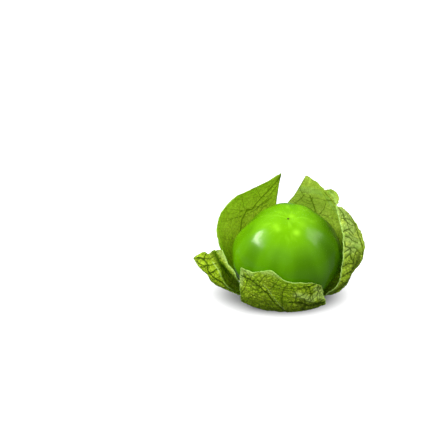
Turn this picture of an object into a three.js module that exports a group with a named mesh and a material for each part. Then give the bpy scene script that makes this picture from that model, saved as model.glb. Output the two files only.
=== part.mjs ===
// A ripe tomatillo sitting in its own husk, which is torn open into five leaf-like sepals.
// Frame: millimetres, +Z up. The origin is on the resting surface, under the middle of the berry.
// The berry's blossom end leans towards -Y, so its stalk end is underneath and towards +Y.
import * as THREE from "three";

// Berry
const BERRY_WIDTH = 50;
const BERRY_HEIGHT = 43; // stalk end to blossom end
const BERRY_LEAN = THREE.MathUtils.degToRad(17.5);
const BERRY_CENTRE_HEIGHT = 23.2;
const STALK_DIMPLE = { depth: 2.4, radius: 5 };
const BLOSSOM_DIMPLE = { depth: 0.5, radius: 4 };
const BERRY_STEPS = { round: 40, along: 20 };

// Husk
const HUSK_THICKNESS = 0.5;
const PRESSED_FLAT_BELOW = 0.14; // an underside lower than this lies flat on the surface
const HUSK_CENTRE = new THREE.Vector2(0, 6.5); // where the sepals meet round the stalk
const ROOT = { radius: 2.4, height: 0.7 };
const FOOT = { radius: 4.6, height: 0.25 };
const FOOT_RIM_HEIGHT = 0.27;
const SEPAL_STEPS = { across: 14, along: 22 };

// Stalk
const STALK_RADIUS = 1.2;
const STALK_LENGTH = 3.6;
const RECEPTACLE = { radius: 1.9, neck: -1.62, low: -0.6, high: -0.2, crown: 1.14 };
const STALK_GAP = 0.9; // between the dimple's floor and the receptacle
const STALK_STEPS = 20;

const BERRY_GREEN = new THREE.MeshStandardMaterial({ color: 0x76c814, roughness: 0.25, metalness: 0 });
const HUSK_GREEN = new THREE.MeshStandardMaterial({ color: 0xb0c858, roughness: 0.8, metalness: 0 });
const STALK_GREEN = new THREE.MeshStandardMaterial({ color: 0x8c9640, roughness: 0.7, metalness: 0 });

// One row of points on a circle round the stalk, from one azimuth to another, in degrees.
function fan(from, to, count, { radius, height }) {
  return Array.from({ length: count }, (_, i) => {
    const angle = THREE.MathUtils.degToRad(THREE.MathUtils.lerp(from, to, i / (count - 1)));
    return [
      HUSK_CENTRE.x + radius * Math.cos(angle),
      HUSK_CENTRE.y + radius * Math.sin(angle),
      height,
    ];
  });
}

// A sepal is a smooth sheet through rows of points. Rows run from the stalk to the free end, and
// each row runs anticlockwise seen from above, so that the sheet's normal points out of the husk.
// Every sepal starts with three rows in its own sector of the flat foot under the berry.
function sepalRows({ sector, footSector, footRadius, rows }) {
  const count = rows[0].length;
  return [
    fan(...sector, count, ROOT),
    fan(...sector, count, FOOT),
    fan(...footSector, count, { radius: footRadius, height: FOOT_RIM_HEIGHT }),
    ...rows,
  ];
}

const SEPALS = {
  husk_lobe_front: {
    sector: [226, 304],
    footSector: [225, 305],
    footRadius: 9.8,
    rows: [
      [
        [-15.5, -9, 1], [-9.8, -11.7, 0.3], [-4, -12.8, 0.25],
        [2, -13.2, 0.25], [8, -12.5, 0.4], [13, -12.4, 2.2],
      ],
      [
        [-21.4, -12.8, 5], [-15, -16.5, 4], [-6.5, -19, 3.8],
        [2, -19.8, 3.5], [10.4, -18.4, 3.6], [18, -17.4, 6],
      ],
      [
        [-22.2, -14, 12], [-17, -20.2, 13], [-9, -24.2, 14],
        [0, -25, 12], [9, -23.5, 10.5], [16.3, -18.8, 10.8],
      ],
      [
        [-21.5, -16, 24.2], [-16.5, -21.3, 24.8], [-8.6, -25.6, 27.2],
        [-1.2, -26.8, 22.2], [8.5, -25, 20.7], [15.2, -20.7, 17.3],
      ],
    ],
  },
  husk_lobe_front_left: {
    sector: [159, 217],
    footSector: [161, 217],
    footRadius: 10,
    rows: [
      [
        [-16.5, 2, 5], [-17.4, 0.8, 4.6], [-18.2, -0.6, 4.1], [-18.5, -2.2, 3.7],
        [-18.4, -3.8, 3.3], [-17.8, -5.3, 2.9], [-16.6, -6.8, 2.6],
      ],
      [
        [-20, -6.5, 8.8], [-20.9, -5.7, 7.8], [-21.8, -5.5, 6.6], [-22.5, -6.9, 6.4],
        [-22.8, -8.4, 6.7], [-22.8, -10, 7], [-22.3, -11.5, 7.2],
      ],
      [
        [-22.8, -12, 15.9], [-23.5, -11, 14.9], [-24.8, -7, 10.4], [-26.9, -14, 12.6],
        [-27.6, -14.5, 13.1], [-28.5, -14.8, 12.5], [-29.6, -13, 11.5],
      ],
      [
        [-24.3, -11, 19.4], [-25.8, -10, 18.2], [-27.1, -4, 13], [-29.4, -13, 15.9],
        [-30.3, -14, 17.2], [-32.4, -14.5, 16.2], [-34.3, -13, 14.5],
      ],
      [
        [-26.9, -8, 21.1], [-29, -6.5, 20.4], [-29.6, 0, 15.7], [-30.5, -10.5, 20],
        [-32.8, -12, 20.4], [-35.2, -12.2, 19.4], [-37.4, -11, 18],
      ],
      [
        [-27.9, -5, 23.1], [-31.5, -3.5, 21.6], [-32, 3, 17.5], [-32.3, -6, 22.6],
        [-35.1, -8, 22.1], [-37.9, -9, 22.6], [-41.1, -9, 20.6],
      ],
      [
        [-29.7, -2, 26.2], [-32.6, -1, 25], [-33.6, 4, 22.4], [-34.4, -3, 25.6],
        [-35.9, -4, 24.8], [-38.6, -4.5, 25.9], [-43.7, -5, 22.7],
      ],
    ],
  },
  husk_lobe_back_left: {
    sector: [94, 149],
    footSector: [93, 147],
    footRadius: 7.6,
    rows: [
      [[-1, 21, 7], [-8, 20, 6.5], [-14, 17, 6], [-18.5, 11, 5.6], [-21.8, 3.4, 6.6]],
      [[-2, 27, 18], [-11, 25.5, 17], [-20, 20.5, 16], [-26, 10.5, 16], [-27.4, -1.5, 17]],
      [[-3.6, 29, 32.2], [-13, 27, 32.2], [-22, 23, 31.2], [-29.3, 13.5, 30.2], [-32.2, 3, 30.7]],
      [[-3, 26.5, 43.3], [-11, 25, 43.3], [-19, 21, 42.8], [-26, 15.5, 41.8], [-30.5, 9, 38.9]],
      [[-1.8, 24, 53.2], [-5, 23.5, 51.3], [-9, 23, 49], [-16, 20, 46.4], [-23, 14, 46]],
    ],
  },
  husk_lobe_back_right: {
    sector: [27, 86],
    footSector: [24, 87],
    footRadius: 7.8,
    rows: [
      [
        [21.6, 5.8, 7], [18.2, 12.6, 6.2], [13.5, 17, 6.2],
        [9.5, 19.3, 6.5], [5, 20.8, 6.8], [0.6, 21, 7.2],
      ],
      [[27.4, -1, 17], [25.9, 9.5, 16.5], [19.5, 19, 17], [14, 23, 17.5], [8, 25.8, 18], [0.8, 27, 19]],
      [
        [28.8, 0, 31], [27.6, 10.5, 31], [21, 20.5, 31.5],
        [15, 25, 32.2], [8, 27.5, 32.2], [-0.2, 28.5, 32.2],
      ],
      [
        [23.1, 5, 42.8], [22.4, 11.8, 42.9], [19, 17, 43.2],
        [15, 21.3, 43.3], [10.5, 24.2, 42.3], [4.8, 26.3, 41.4],
      ],
      [
        [24.7, 5.2, 49.2], [20.9, 9.3, 51.2], [18, 14, 48.8],
        [15.1, 19, 50.4], [12.5, 22, 51], [9.8, 24, 52.2],
      ],
    ],
  },
  husk_lobe_right: {
    sector: [313, 378],
    footSector: [312, 377],
    footRadius: 9.8,
    rows: [
      [[14.5, -10.5, 5.6], [19, -7.5, 5.4], [21.5, -2.5, 5.2], [22, 3, 5.3], [21, 8, 5.6]],
      [[18.8, -15.8, 10.8], [24, -12.2, 9.6], [27.6, -7, 10.4], [28, 1, 10.4], [26.5, 8.4, 11]],
      [[22.8, -15.2, 14.8], [27, -11.5, 14.6], [30, -6, 15.2], [31.2, 2, 15.5], [28.8, 10.8, 16]],
      [[24.2, -13, 20.3], [29.5, -9.5, 20.3], [34.5, -3, 20.8], [34, 5, 20.8], [30.3, 13, 21]],
      [[25, -10, 29.2], [31, -7, 28.4], [35.8, 0, 27.7], [34.6, 8, 27.8], [30.3, 14.5, 27.6]],
      [[24.8, -6, 36], [29.5, -4, 36], [32.8, 1.5, 35.2], [31.8, 8, 33.8], [28.8, 13.5, 32.5]],
      [[23.4, -1.5, 40.9], [27.3, 0.3, 41.2], [29.6, 4, 39.6], [28.8, 8.5, 38], [26.6, 13, 36.4]],
      [[22, 1.4, 46.2], [23.8, 3, 45.5], [25.4, 6.2, 43.6], [25.8, 9, 41.6], [24.6, 12.3, 39.6]],
    ],
  },
};

const SLOPE_STEP = 1e-3;

// The smooth sheet through a sepal's rows, as a function of u across and v along, both 0 to 1.
function sheetThrough(rows) {
  const spline = (points) => new THREE.CatmullRomCurve3(points, false, "catmullrom", 0.5);
  const columns = rows[0].map((_, i) => spline(rows.map((row) => new THREE.Vector3(...row[i]))));
  const point = (u, v) => spline(columns.map((column) => column.getPoint(v))).getPoint(u);
  const slope = (from, to) => to.sub(from);
  const normal = (u, v) => {
    const [u0, u1] = [Math.max(u - SLOPE_STEP, 0), Math.min(u + SLOPE_STEP, 1)];
    const [v0, v1] = [Math.max(v - SLOPE_STEP, 0), Math.min(v + SLOPE_STEP, 1)];
    const across = slope(point(u0, v), point(u1, v));
    const along = slope(point(u, v0), point(u, v1));
    return across.cross(along).normalize();
  };
  return { point, normal };
}

// A closed solid of even thickness on a sheet. What lies lowest is pressed flat on the surface.
function sheetSolid(sheet, { across, along }) {
  const positions = [];
  for (const side of [0.5, -0.5]) {
    for (let j = 0; j <= along; j++) {
      for (let i = 0; i <= across; i++) {
        const [u, v] = [i / across, j / along];
        const p = sheet.point(u, v).addScaledVector(sheet.normal(u, v), side * HUSK_THICKNESS);
        positions.push(p.x, p.y, p.z < PRESSED_FLAT_BELOW ? 0 : p.z);
      }
    }
  }
  const at = (side, i, j) => (side * (along + 1) + j) * (across + 1) + i;
  const faces = [];
  const quad = (a, b, c, d) => faces.push(a, b, c, a, c, d);
  for (let j = 0; j < along; j++) {
    for (let i = 0; i < across; i++) {
      quad(at(0, i, j), at(0, i + 1, j), at(0, i + 1, j + 1), at(0, i, j + 1));
      quad(at(1, i, j + 1), at(1, i + 1, j + 1), at(1, i + 1, j), at(1, i, j));
    }
    quad(at(0, 0, j), at(0, 0, j + 1), at(1, 0, j + 1), at(1, 0, j));
    quad(at(1, across, j), at(1, across, j + 1), at(0, across, j + 1), at(0, across, j));
  }
  for (let i = 0; i < across; i++) {
    quad(at(1, i, 0), at(1, i + 1, 0), at(0, i + 1, 0), at(0, i, 0));
    quad(at(0, i, along), at(0, i + 1, along), at(1, i + 1, along), at(1, i, along));
  }
  const geometry = new THREE.BufferGeometry();
  geometry.setAttribute("position", new THREE.Float32BufferAttribute(positions, 3));
  geometry.setIndex(faces);
  geometry.computeVertexNormals();
  return geometry;
}

// The berry's half outline from the stalk end to the blossom end, with a dimple at each.
function berryOutline() {
  const dimple = ({ depth, radius }, r) => depth * Math.exp(-((r / radius) ** 2));
  return Array.from({ length: BERRY_STEPS.along + 1 }, (_, i) => {
    const latitude = (i / BERRY_STEPS.along - 0.5) * Math.PI;
    const r = (BERRY_WIDTH / 2) * Math.cos(latitude);
    const ball = (BERRY_HEIGHT / 2) * Math.sin(latitude);
    const height = latitude < 0 ? ball + dimple(STALK_DIMPLE, r) : ball - dimple(BLOSSOM_DIMPLE, r);
    const onAxis = i === 0 || i === BERRY_STEPS.along;
    return new THREE.Vector2(onAxis ? 0 : r, height);
  });
}

// The cut stalk, from its flared receptacle in the berry's dimple down to the cut end.
function stalkOutline() {
  return [
    [0, -STALK_LENGTH],
    [STALK_RADIUS, -STALK_LENGTH],
    [STALK_RADIUS, RECEPTACLE.neck],
    [RECEPTACLE.radius, RECEPTACLE.low],
    [RECEPTACLE.radius, RECEPTACLE.high],
    [RECEPTACLE.crown, 0],
    [0, 0],
  ].map(([r, height]) => new THREE.Vector2(r, height));
}

function named(name, geometry, material) {
  const mesh = new THREE.Mesh(geometry, material);
  mesh.name = name;
  return mesh;
}

const tomatillo = new THREE.Group();

// The berry and its stalk share one leaning axis. A lathe turns about Y, so it is stood up on Z.
const leaning = new THREE.Group();
leaning.position.set(0, 0, BERRY_CENTRE_HEIGHT);
leaning.rotation.x = Math.PI / 2 + BERRY_LEAN;
leaning.add(named("berry", new THREE.LatheGeometry(berryOutline(), BERRY_STEPS.round), BERRY_GREEN));
const stalk = named("stem_stub", new THREE.LatheGeometry(stalkOutline(), STALK_STEPS), STALK_GREEN);
stalk.position.y = -BERRY_HEIGHT / 2 + STALK_DIMPLE.depth - STALK_GAP;
leaning.add(stalk);
tomatillo.add(leaning);

for (const [name, sepal] of Object.entries(SEPALS)) {
  const sheet = sheetThrough(sepalRows(sepal));
  tomatillo.add(named(name, sheetSolid(sheet, SEPAL_STEPS), HUSK_GREEN));
}

export default tomatillo;
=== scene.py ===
"""A ripe tomatillo sitting in its own torn husk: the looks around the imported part.

Everything is in the part's frame: +Z up, the origin on the resting surface under the middle of
the berry, and the berry's blossom end leaning towards -Y. Lengths are in metres, apart from a
sepal's own points and sizes, which are in millimetres.
"""

import logging
import math
from dataclasses import dataclass, field
from enum import Enum

import bpy
import numpy as np
from mathutils import Euler, Matrix


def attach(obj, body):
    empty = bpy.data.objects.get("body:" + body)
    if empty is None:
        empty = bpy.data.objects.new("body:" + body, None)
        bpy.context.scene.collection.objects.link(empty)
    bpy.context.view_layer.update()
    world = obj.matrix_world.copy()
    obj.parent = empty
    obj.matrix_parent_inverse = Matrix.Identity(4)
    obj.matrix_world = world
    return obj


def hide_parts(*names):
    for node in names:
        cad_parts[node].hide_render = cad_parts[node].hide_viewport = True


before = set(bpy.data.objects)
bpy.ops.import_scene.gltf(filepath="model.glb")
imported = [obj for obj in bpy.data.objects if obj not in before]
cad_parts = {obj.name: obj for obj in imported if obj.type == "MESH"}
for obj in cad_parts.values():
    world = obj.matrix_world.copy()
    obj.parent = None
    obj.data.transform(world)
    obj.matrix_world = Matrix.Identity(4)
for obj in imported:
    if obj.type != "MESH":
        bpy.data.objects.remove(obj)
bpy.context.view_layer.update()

LOG = logging.getLogger("tomatillo")
MM = 0.001
BODY = "root"

# The berry and its stalk share one leaning axis, and the stalk sits in the berry's lower dimple.
BERRY_LEAN = math.radians(17.5)
BERRY_CENTRE_HEIGHT = 23.2 * MM
BERRY_HALF_HEIGHT = 21.5 * MM
STALK_DIMPLE_DEPTH = 2.4 * MM
STALK_GAP = 0.9 * MM

# The sepals' feet meet round the stalk. Like all of a sepal's sizes, these are in millimetres.
HUSK_CENTRE_Y = 6.5
ROOT_RADIUS, ROOT_HEIGHT = 2.4, 0.7
FOOT_RADIUS, FOOT_HEIGHT = 4.6, 0.25
FOOT_RIM_HEIGHT = 0.27

Colour = tuple[float, float, float, float]
Span = tuple[float, float]  # two values, mostly where a change starts and where it is full
Stroke = tuple[tuple[float, float], ...]  # a line's spots, in shares across and along a sepal
Point = tuple[float, float, float]

WHITE: Colour = (1.0, 1.0, 1.0, 1.0)
FINE_DETAIL = 3.0
CELL_WALL = 0.3  # how far into a cell its wall's slope reaches, as a share of the cell
CURVE_POINTS = 24
STRETCH_STEPS = 8


def linear(red: int, green: int, blue: int) -> Colour:
    """Turns a screen colour into a linear one with alpha 1.

    Args:
        red: its red, from 0 to 255.
        green: its green.
        blue: its blue.

    Returns:
        The linear colour.
    """
    shares = (step / 255 for step in (red, green, blue))
    bent = [s / 12.92 if s <= 0.04045 else ((s + 0.055) / 1.055) ** 2.4 for s in shares]
    return (bent[0], bent[1], bent[2], 1.0)


class Number:
    """A number that varies over a surface. Arithmetic on it adds Math nodes to its plan."""

    def __init__(self, plan: "Plan", socket: bpy.types.NodeSocket) -> None:
        """Wraps one output socket of a plan."""
        self.plan = plan
        self.socket = socket

    def _math(self, operation: str, first: object, second: object = 0.0) -> "Number":
        """Returns the result of one Math node on one or two values."""
        made = self.plan.node("ShaderNodeMath", {"operation": operation}, {0: first, 1: second})
        return Number(self.plan, made.outputs[0])

    def __add__(self, other: object) -> "Number":
        """Returns self + other."""
        return self._math("ADD", self, other)

    def __radd__(self, other: object) -> "Number":
        """Returns other + self."""
        return self._math("ADD", other, self)

    def __sub__(self, other: object) -> "Number":
        """Returns self - other."""
        return self._math("SUBTRACT", self, other)

    def __rsub__(self, other: object) -> "Number":
        """Returns other - self."""
        return self._math("SUBTRACT", other, self)

    def __mul__(self, other: object) -> "Number":
        """Returns self * other."""
        return self._math("MULTIPLY", self, other)

    def __rmul__(self, other: object) -> "Number":
        """Returns other * self."""
        return self._math("MULTIPLY", other, self)

    def __truediv__(self, other: object) -> "Number":
        """Returns self / other."""
        return self._math("DIVIDE", self, other)

    def __rtruediv__(self, other: object) -> "Number":
        """Returns other / self."""
        return self._math("DIVIDE", other, self)

    def __pow__(self, other: object) -> "Number":
        """Returns self ** other."""
        return self._math("POWER", self, other)

    def at_least(self, low: object) -> "Number":
        """Returns the larger of self and low."""
        return self._math("MAXIMUM", self, low)

    def at_most(self, high: object) -> "Number":
        """Returns the smaller of self and high."""
        return self._math("MINIMUM", self, high)

    def above(self, edge: object) -> "Number":
        """Returns 1 where self is above the edge, and 0 elsewhere."""
        return self._math("GREATER_THAN", self, edge)

    def bell(self, width: object) -> "Number":
        """Returns 1 where self is 0, falling smoothly to 0 within about twice the width."""
        share = self / width
        return self._math("EXPONENT", 0.0 - share * share)

    def rise(self, low: object, high: object) -> "Number":
        """Steps smoothly from 0 to 1.

        Args:
            low: the value up to which the result is 0.
            high: the value from which the result is 1.

        Returns:
            The step.
        """
        feeds = {"Value": self, "From Min": low, "From Max": high}
        made = self.plan.node("ShaderNodeMapRange", {"interpolation_type": "SMOOTHSTEP"}, feeds)
        return Number(self.plan, made.outputs[0])


class Plan:
    """A node tree under construction, for a material or for geometry."""

    def __init__(self, tree: bpy.types.NodeTree) -> None:
        """Takes an empty node tree."""
        self.tree = tree

    def node(
        self, kind: str, settings: dict | None = None, feeds: dict | None = None
    ) -> bpy.types.Node:
        """Adds a node.

        Args:
            kind: the node's type name.
            settings: its settings, which are set before its sockets are fed.
            feeds: what each socket takes, by its name, identifier or number: a plain value, a
                socket or a Number.

        Returns:
            The new node.
        """
        made = self.tree.nodes.new(kind)
        for name, value in (settings or {}).items():
            if name == "stops":
                self._set_stops(made.color_ramp, value)
            else:
                setattr(made, name, value)
        for key, value in (feeds or {}).items():
            self._feed(self._find(made.inputs, key), value)
        return made

    @staticmethod
    def _set_stops(ramp: bpy.types.ColorRamp, stops: list[tuple[float, Colour]]) -> None:
        """Gives a colour ramp its stops.

        Args:
            ramp: the ramp.
            stops: the place of each stop, from 0 to 1, and its colour.
        """
        while len(ramp.elements) < len(stops):
            ramp.elements.new(0.5)
        for element, (place, colour) in zip(ramp.elements, stops):
            element.position = place
            element.color = colour

    @staticmethod
    def _find(sockets: bpy.types.bpy_prop_collection, key: str | int) -> bpy.types.NodeSocket:
        """Finds a socket that is in use.

        Args:
            sockets: a node's inputs or outputs.
            key: the socket's name, identifier or number.

        Returns:
            The socket.
        """
        if isinstance(key, int):
            return sockets[key]
        return next(s for s in sockets if s.enabled and key in (s.identifier, s.name))

    def _feed(self, socket: bpy.types.NodeSocket, value: object) -> None:
        """Links a socket to what feeds it, or sets a plain value on it.

        Args:
            socket: the socket to feed.
            value: another socket, a Number or a plain value.
        """
        source = value.socket if isinstance(value, Number) else value
        if isinstance(source, bpy.types.NodeSocket):
            self.tree.links.new(source, socket)
        else:
            socket.default_value = source

    def number(self, socket: bpy.types.NodeSocket) -> Number:
        """Returns the socket as a Number."""
        return Number(self, socket)

    def shifted(self, place: object, by: object) -> bpy.types.NodeSocket:
        """Returns the vector place + by."""
        made = self.node("ShaderNodeVectorMath", {"operation": "ADD"}, {0: place, 1: by})
        return made.outputs["Vector"]

    def scaled(self, vector: object, by: object) -> bpy.types.NodeSocket:
        """Returns the vector times a number."""
        made = self.node("ShaderNodeVectorMath", {"operation": "SCALE"}, {0: vector, "Scale": by})
        return made.outputs["Vector"]

    def parts(self, vector: object) -> tuple[Number, Number, Number]:
        """Returns the vector's x, y and z."""
        made = self.node("ShaderNodeSeparateXYZ", feeds={0: vector})
        return tuple(self.number(output) for output in made.outputs)

    def joined(self, x: object, y: object, z: object) -> bpy.types.NodeSocket:
        """Returns the vector (x, y, z)."""
        return self.node("ShaderNodeCombineXYZ", feeds={0: x, 1: y, 2: z}).outputs[0]

    def noise(self, place: object, size: float, detail: float = 2.0) -> Number:
        """Returns soft noise from 0 to 1 at a place, with patches of this size and finer ones."""
        feeds = {"Vector": place, "Scale": 1 / size, "Detail": detail}
        return self.number(self.node("ShaderNodeTexNoise", {}, feeds).outputs["Fac"])

    def wandering(self, place: object, size: float, reach: float) -> bpy.types.NodeSocket:
        """Returns the place moved about softly.

        Args:
            place: the vector to move, in metres.
            size: the size of the noise that moves it.
            reach: how far it moves, about.

        Returns:
            The moved vector.
        """
        made = self.node("ShaderNodeTexNoise", {}, {"Vector": place, "Scale": 1 / size})
        centred = self.shifted(made.outputs["Color"], (-0.5, -0.5, -0.5))
        return self.shifted(place, self.scaled(centred, 2 * reach))

    def cell_edge(self, place: object, size: object) -> Number:
        """Returns how far a place is from the nearest cell wall, in cells: 0 on the wall.

        Args:
            place: where it is read, as a vector in metres.
            size: a cell's size in metres, a plain value or a Number.

        Returns:
            The distance as a share of a cell.
        """
        settings = {"feature": "DISTANCE_TO_EDGE"}
        made = self.node("ShaderNodeTexVoronoi", settings, {"Vector": place, "Scale": 1 / size})
        return self.number(made.outputs["Distance"])

    def cell_tone(self, place: object, size: object) -> Number:
        """Returns one number from 0 to 1 for the cell that a place is in, the same all over it."""
        made = self.node("ShaderNodeTexVoronoi", {}, {"Vector": place, "Scale": 1 / size})
        return self.parts(made.outputs["Color"])[0]


class MaterialPlan(Plan):
    """The node tree of one procedural material, around one Principled shader."""

    def __init__(self, name: str) -> None:
        """Makes the material, empty but for its output and its Principled shader.

        Args:
            name: the material's name.
        """
        self.material = bpy.data.materials.new(name)
        self.material.use_nodes = True
        super().__init__(self.material.node_tree)
        self.tree.nodes.clear()
        self.output = self.node("ShaderNodeOutputMaterial")
        self.skin = self.node("ShaderNodeBsdfPrincipled")
        self.place = self.node("ShaderNodeTexCoord").outputs["Object"]

    def grown(self, name: str) -> Number:
        """Returns a number that the mesh carries under this name."""
        return self.number(self.node("ShaderNodeAttribute", {"attribute_name": name}).outputs["Fac"])

    def grown_vector(self, name: str) -> bpy.types.NodeSocket:
        """Returns a vector that the mesh carries under this name."""
        return self.node("ShaderNodeAttribute", {"attribute_name": name}).outputs["Vector"]

    def mixed(self, share: object, first: object, second: object) -> bpy.types.NodeSocket:
        """Mixes two colours.

        Args:
            share: the second colour's share, from 0 to 1.
            first: the first colour.
            second: the second colour.

        Returns:
            The mixed colour.
        """
        feeds = {"Factor": share, "A": first, "B": second}
        made = self.node("ShaderNodeMix", {"data_type": "RGBA"}, feeds)
        return self._find(made.outputs, "Result")

    def ramp(self, value: object, stops: list[tuple[float, Colour]]) -> bpy.types.NodeSocket:
        """Returns the colour that a ramp with these stops gives a value."""
        return self.node("ShaderNodeValToRGB", {"stops": stops}, {"Fac": value}).outputs["Color"]

    def bump(self, height: Number, depth: float, strength: float) -> bpy.types.NodeSocket:
        """Returns the normal of a surface whose relief has this height, times this depth."""
        feeds = {"Height": height, "Distance": depth, "Strength": strength}
        return self.node("ShaderNodeBump", {}, feeds).outputs["Normal"]

    def finish(self, feeds: dict, see_through: tuple[float, Colour] | None = None) -> bpy.types.Material:
        """Feeds the Principled shader and joins it to the output.

        Args:
            feeds: what each of the shader's sockets takes.
            see_through: the share of light that passes through a thin sheet, and its colour.

        Returns:
            The material.
        """
        for key, value in feeds.items():
            self._feed(self._find(self.skin.inputs, key), value)
        surface = self.skin.outputs[0]
        if see_through:
            share, colour = see_through
            glow = self.node("ShaderNodeBsdfTranslucent", {}, {"Color": colour}).outputs[0]
            surface = self.node("ShaderNodeMixShader", {}, {0: share, 1: surface, 2: glow}).outputs[0]
        self._feed(self.output.inputs["Surface"], surface)
        return self.material


class GrowthPlan(Plan):
    """A Geometry Nodes tree that grows one kind of piece, with named inputs for its sizes."""

    def __init__(self, name: str) -> None:
        """Makes the tree with a geometry input and a geometry output.

        Args:
            name: the tree's name.
        """
        super().__init__(bpy.data.node_groups.new(name, "GeometryNodeTree"))
        sockets = self.tree.interface
        sockets.new_socket("Piece", in_out="INPUT", socket_type="NodeSocketGeometry")
        sockets.new_socket("Piece", in_out="OUTPUT", socket_type="NodeSocketGeometry")
        self.start = self.node("NodeGroupInput")
        self.end = self.node("NodeGroupOutput")
        self.piece = self.start.outputs["Piece"]

    def size(self, name: str) -> Number:
        """Adds a named number input and returns it."""
        return self.number(self.given(name, "NodeSocketFloat"))

    def given(self, name: str, kind: str) -> bpy.types.NodeSocket:
        """Adds a named input of any kind and returns its socket."""
        self.tree.interface.new_socket(name, in_out="INPUT", socket_type=kind)
        return self.start.outputs[name]

    def read(self, name: str) -> Number:
        """Returns a number that each point of the piece carries."""
        made = self.node("GeometryNodeInputNamedAttribute", {"data_type": "FLOAT"}, {"Name": name})
        return self.number(made.outputs["Attribute"])

    def read_vector(self, name: str) -> bpy.types.NodeSocket:
        """Returns a vector that each point of the piece carries."""
        settings = {"data_type": "FLOAT_VECTOR"}
        return self.node("GeometryNodeInputNamedAttribute", settings, {"Name": name}).outputs[0]

    def store(self, name: str, value: object, data_type: str = "FLOAT") -> None:
        """Writes a value on each point of the piece.

        Args:
            name: the name that the value is kept under.
            value: the value.
            data_type: the kind of value.
        """
        feeds = {"Geometry": self.piece, "Name": name, "Value": value}
        made = self.node("GeometryNodeStoreNamedAttribute", {"data_type": data_type}, feeds)
        self.piece = made.outputs["Geometry"]

    def move_to(self, place: object) -> None:
        """Moves each point of the piece to a place."""
        feeds = {"Geometry": self.piece, "Position": place}
        self.piece = self.node("GeometryNodeSetPosition", {}, feeds).outputs["Geometry"]

    def distance_to(self, lines: object, place: object) -> Number:
        """Returns how far a place is from the lines of another object, in metres.

        Args:
            lines: the socket that gives the object.
            place: where it is measured from.

        Returns:
            The distance.
        """
        drawn = self.node("GeometryNodeObjectInfo", {}, {"Object": lines}).outputs["Geometry"]
        feeds = {"Target": drawn, "Source Position": place}
        made = self.node("GeometryNodeProximity", {"target_element": "EDGES"}, feeds)
        return self.number(made.outputs["Distance"])

    def close(self, material: object) -> None:
        """Ends the tree with smooth shading, real meshes and the material.

        Args:
            material: the socket that gives the material.
        """
        smooth = self.node("GeometryNodeSetShadeSmooth", {}, {"Geometry": self.piece})
        real = self.node("GeometryNodeRealizeInstances", {}, {"Geometry": smooth.outputs[0]})
        feeds = {"Geometry": real.outputs[0], "Material": material}
        dressed = self.node("GeometryNodeSetMaterial", {}, feeds)
        self._feed(self.end.inputs["Piece"], dressed.outputs[0])

    def grow(self, piece: bpy.types.Object, inputs: dict[str, object]) -> None:
        """Runs the tree on a piece and keeps the result as the piece's plain mesh.

        Args:
            piece: the object whose mesh the tree starts from.
            inputs: the value of each of the tree's named inputs.
        """
        modifier = piece.modifiers.new(self.tree.name, "NODES")
        modifier.node_group = self.tree
        for item in self.tree.interface.items_tree:
            if item.in_out == "INPUT" and item.name in inputs:
                modifier[item.identifier] = inputs[item.name]
        depsgraph = bpy.context.evaluated_depsgraph_get()
        mesh = bpy.data.meshes.new_from_object(
            piece.evaluated_get(depsgraph), preserve_all_data_layers=True, depsgraph=depsgraph
        )
        piece.modifiers.remove(modifier)
        piece.data = mesh


def new_object(name: str, mesh: bpy.types.Mesh) -> bpy.types.Object:
    """Makes an object at the origin and links it to the scene.

    Args:
        name: its name.
        mesh: its mesh.

    Returns:
        The object.
    """
    made = bpy.data.objects.new(name, mesh)
    bpy.context.scene.collection.objects.link(made)
    return made


def settle(piece: bpy.types.Object, node: str) -> None:
    """Puts a finished piece on the part's body, in the place of its CAD node.

    Args:
        piece: the finished piece.
        node: the CAD node that it stands for.
    """
    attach(piece, BODY)
    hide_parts(node)
    LOG.info("%s: %d faces", piece.name, len(piece.data.polygons))


# ---------------------------------------------------------------------------------------------
# Berry


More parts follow.
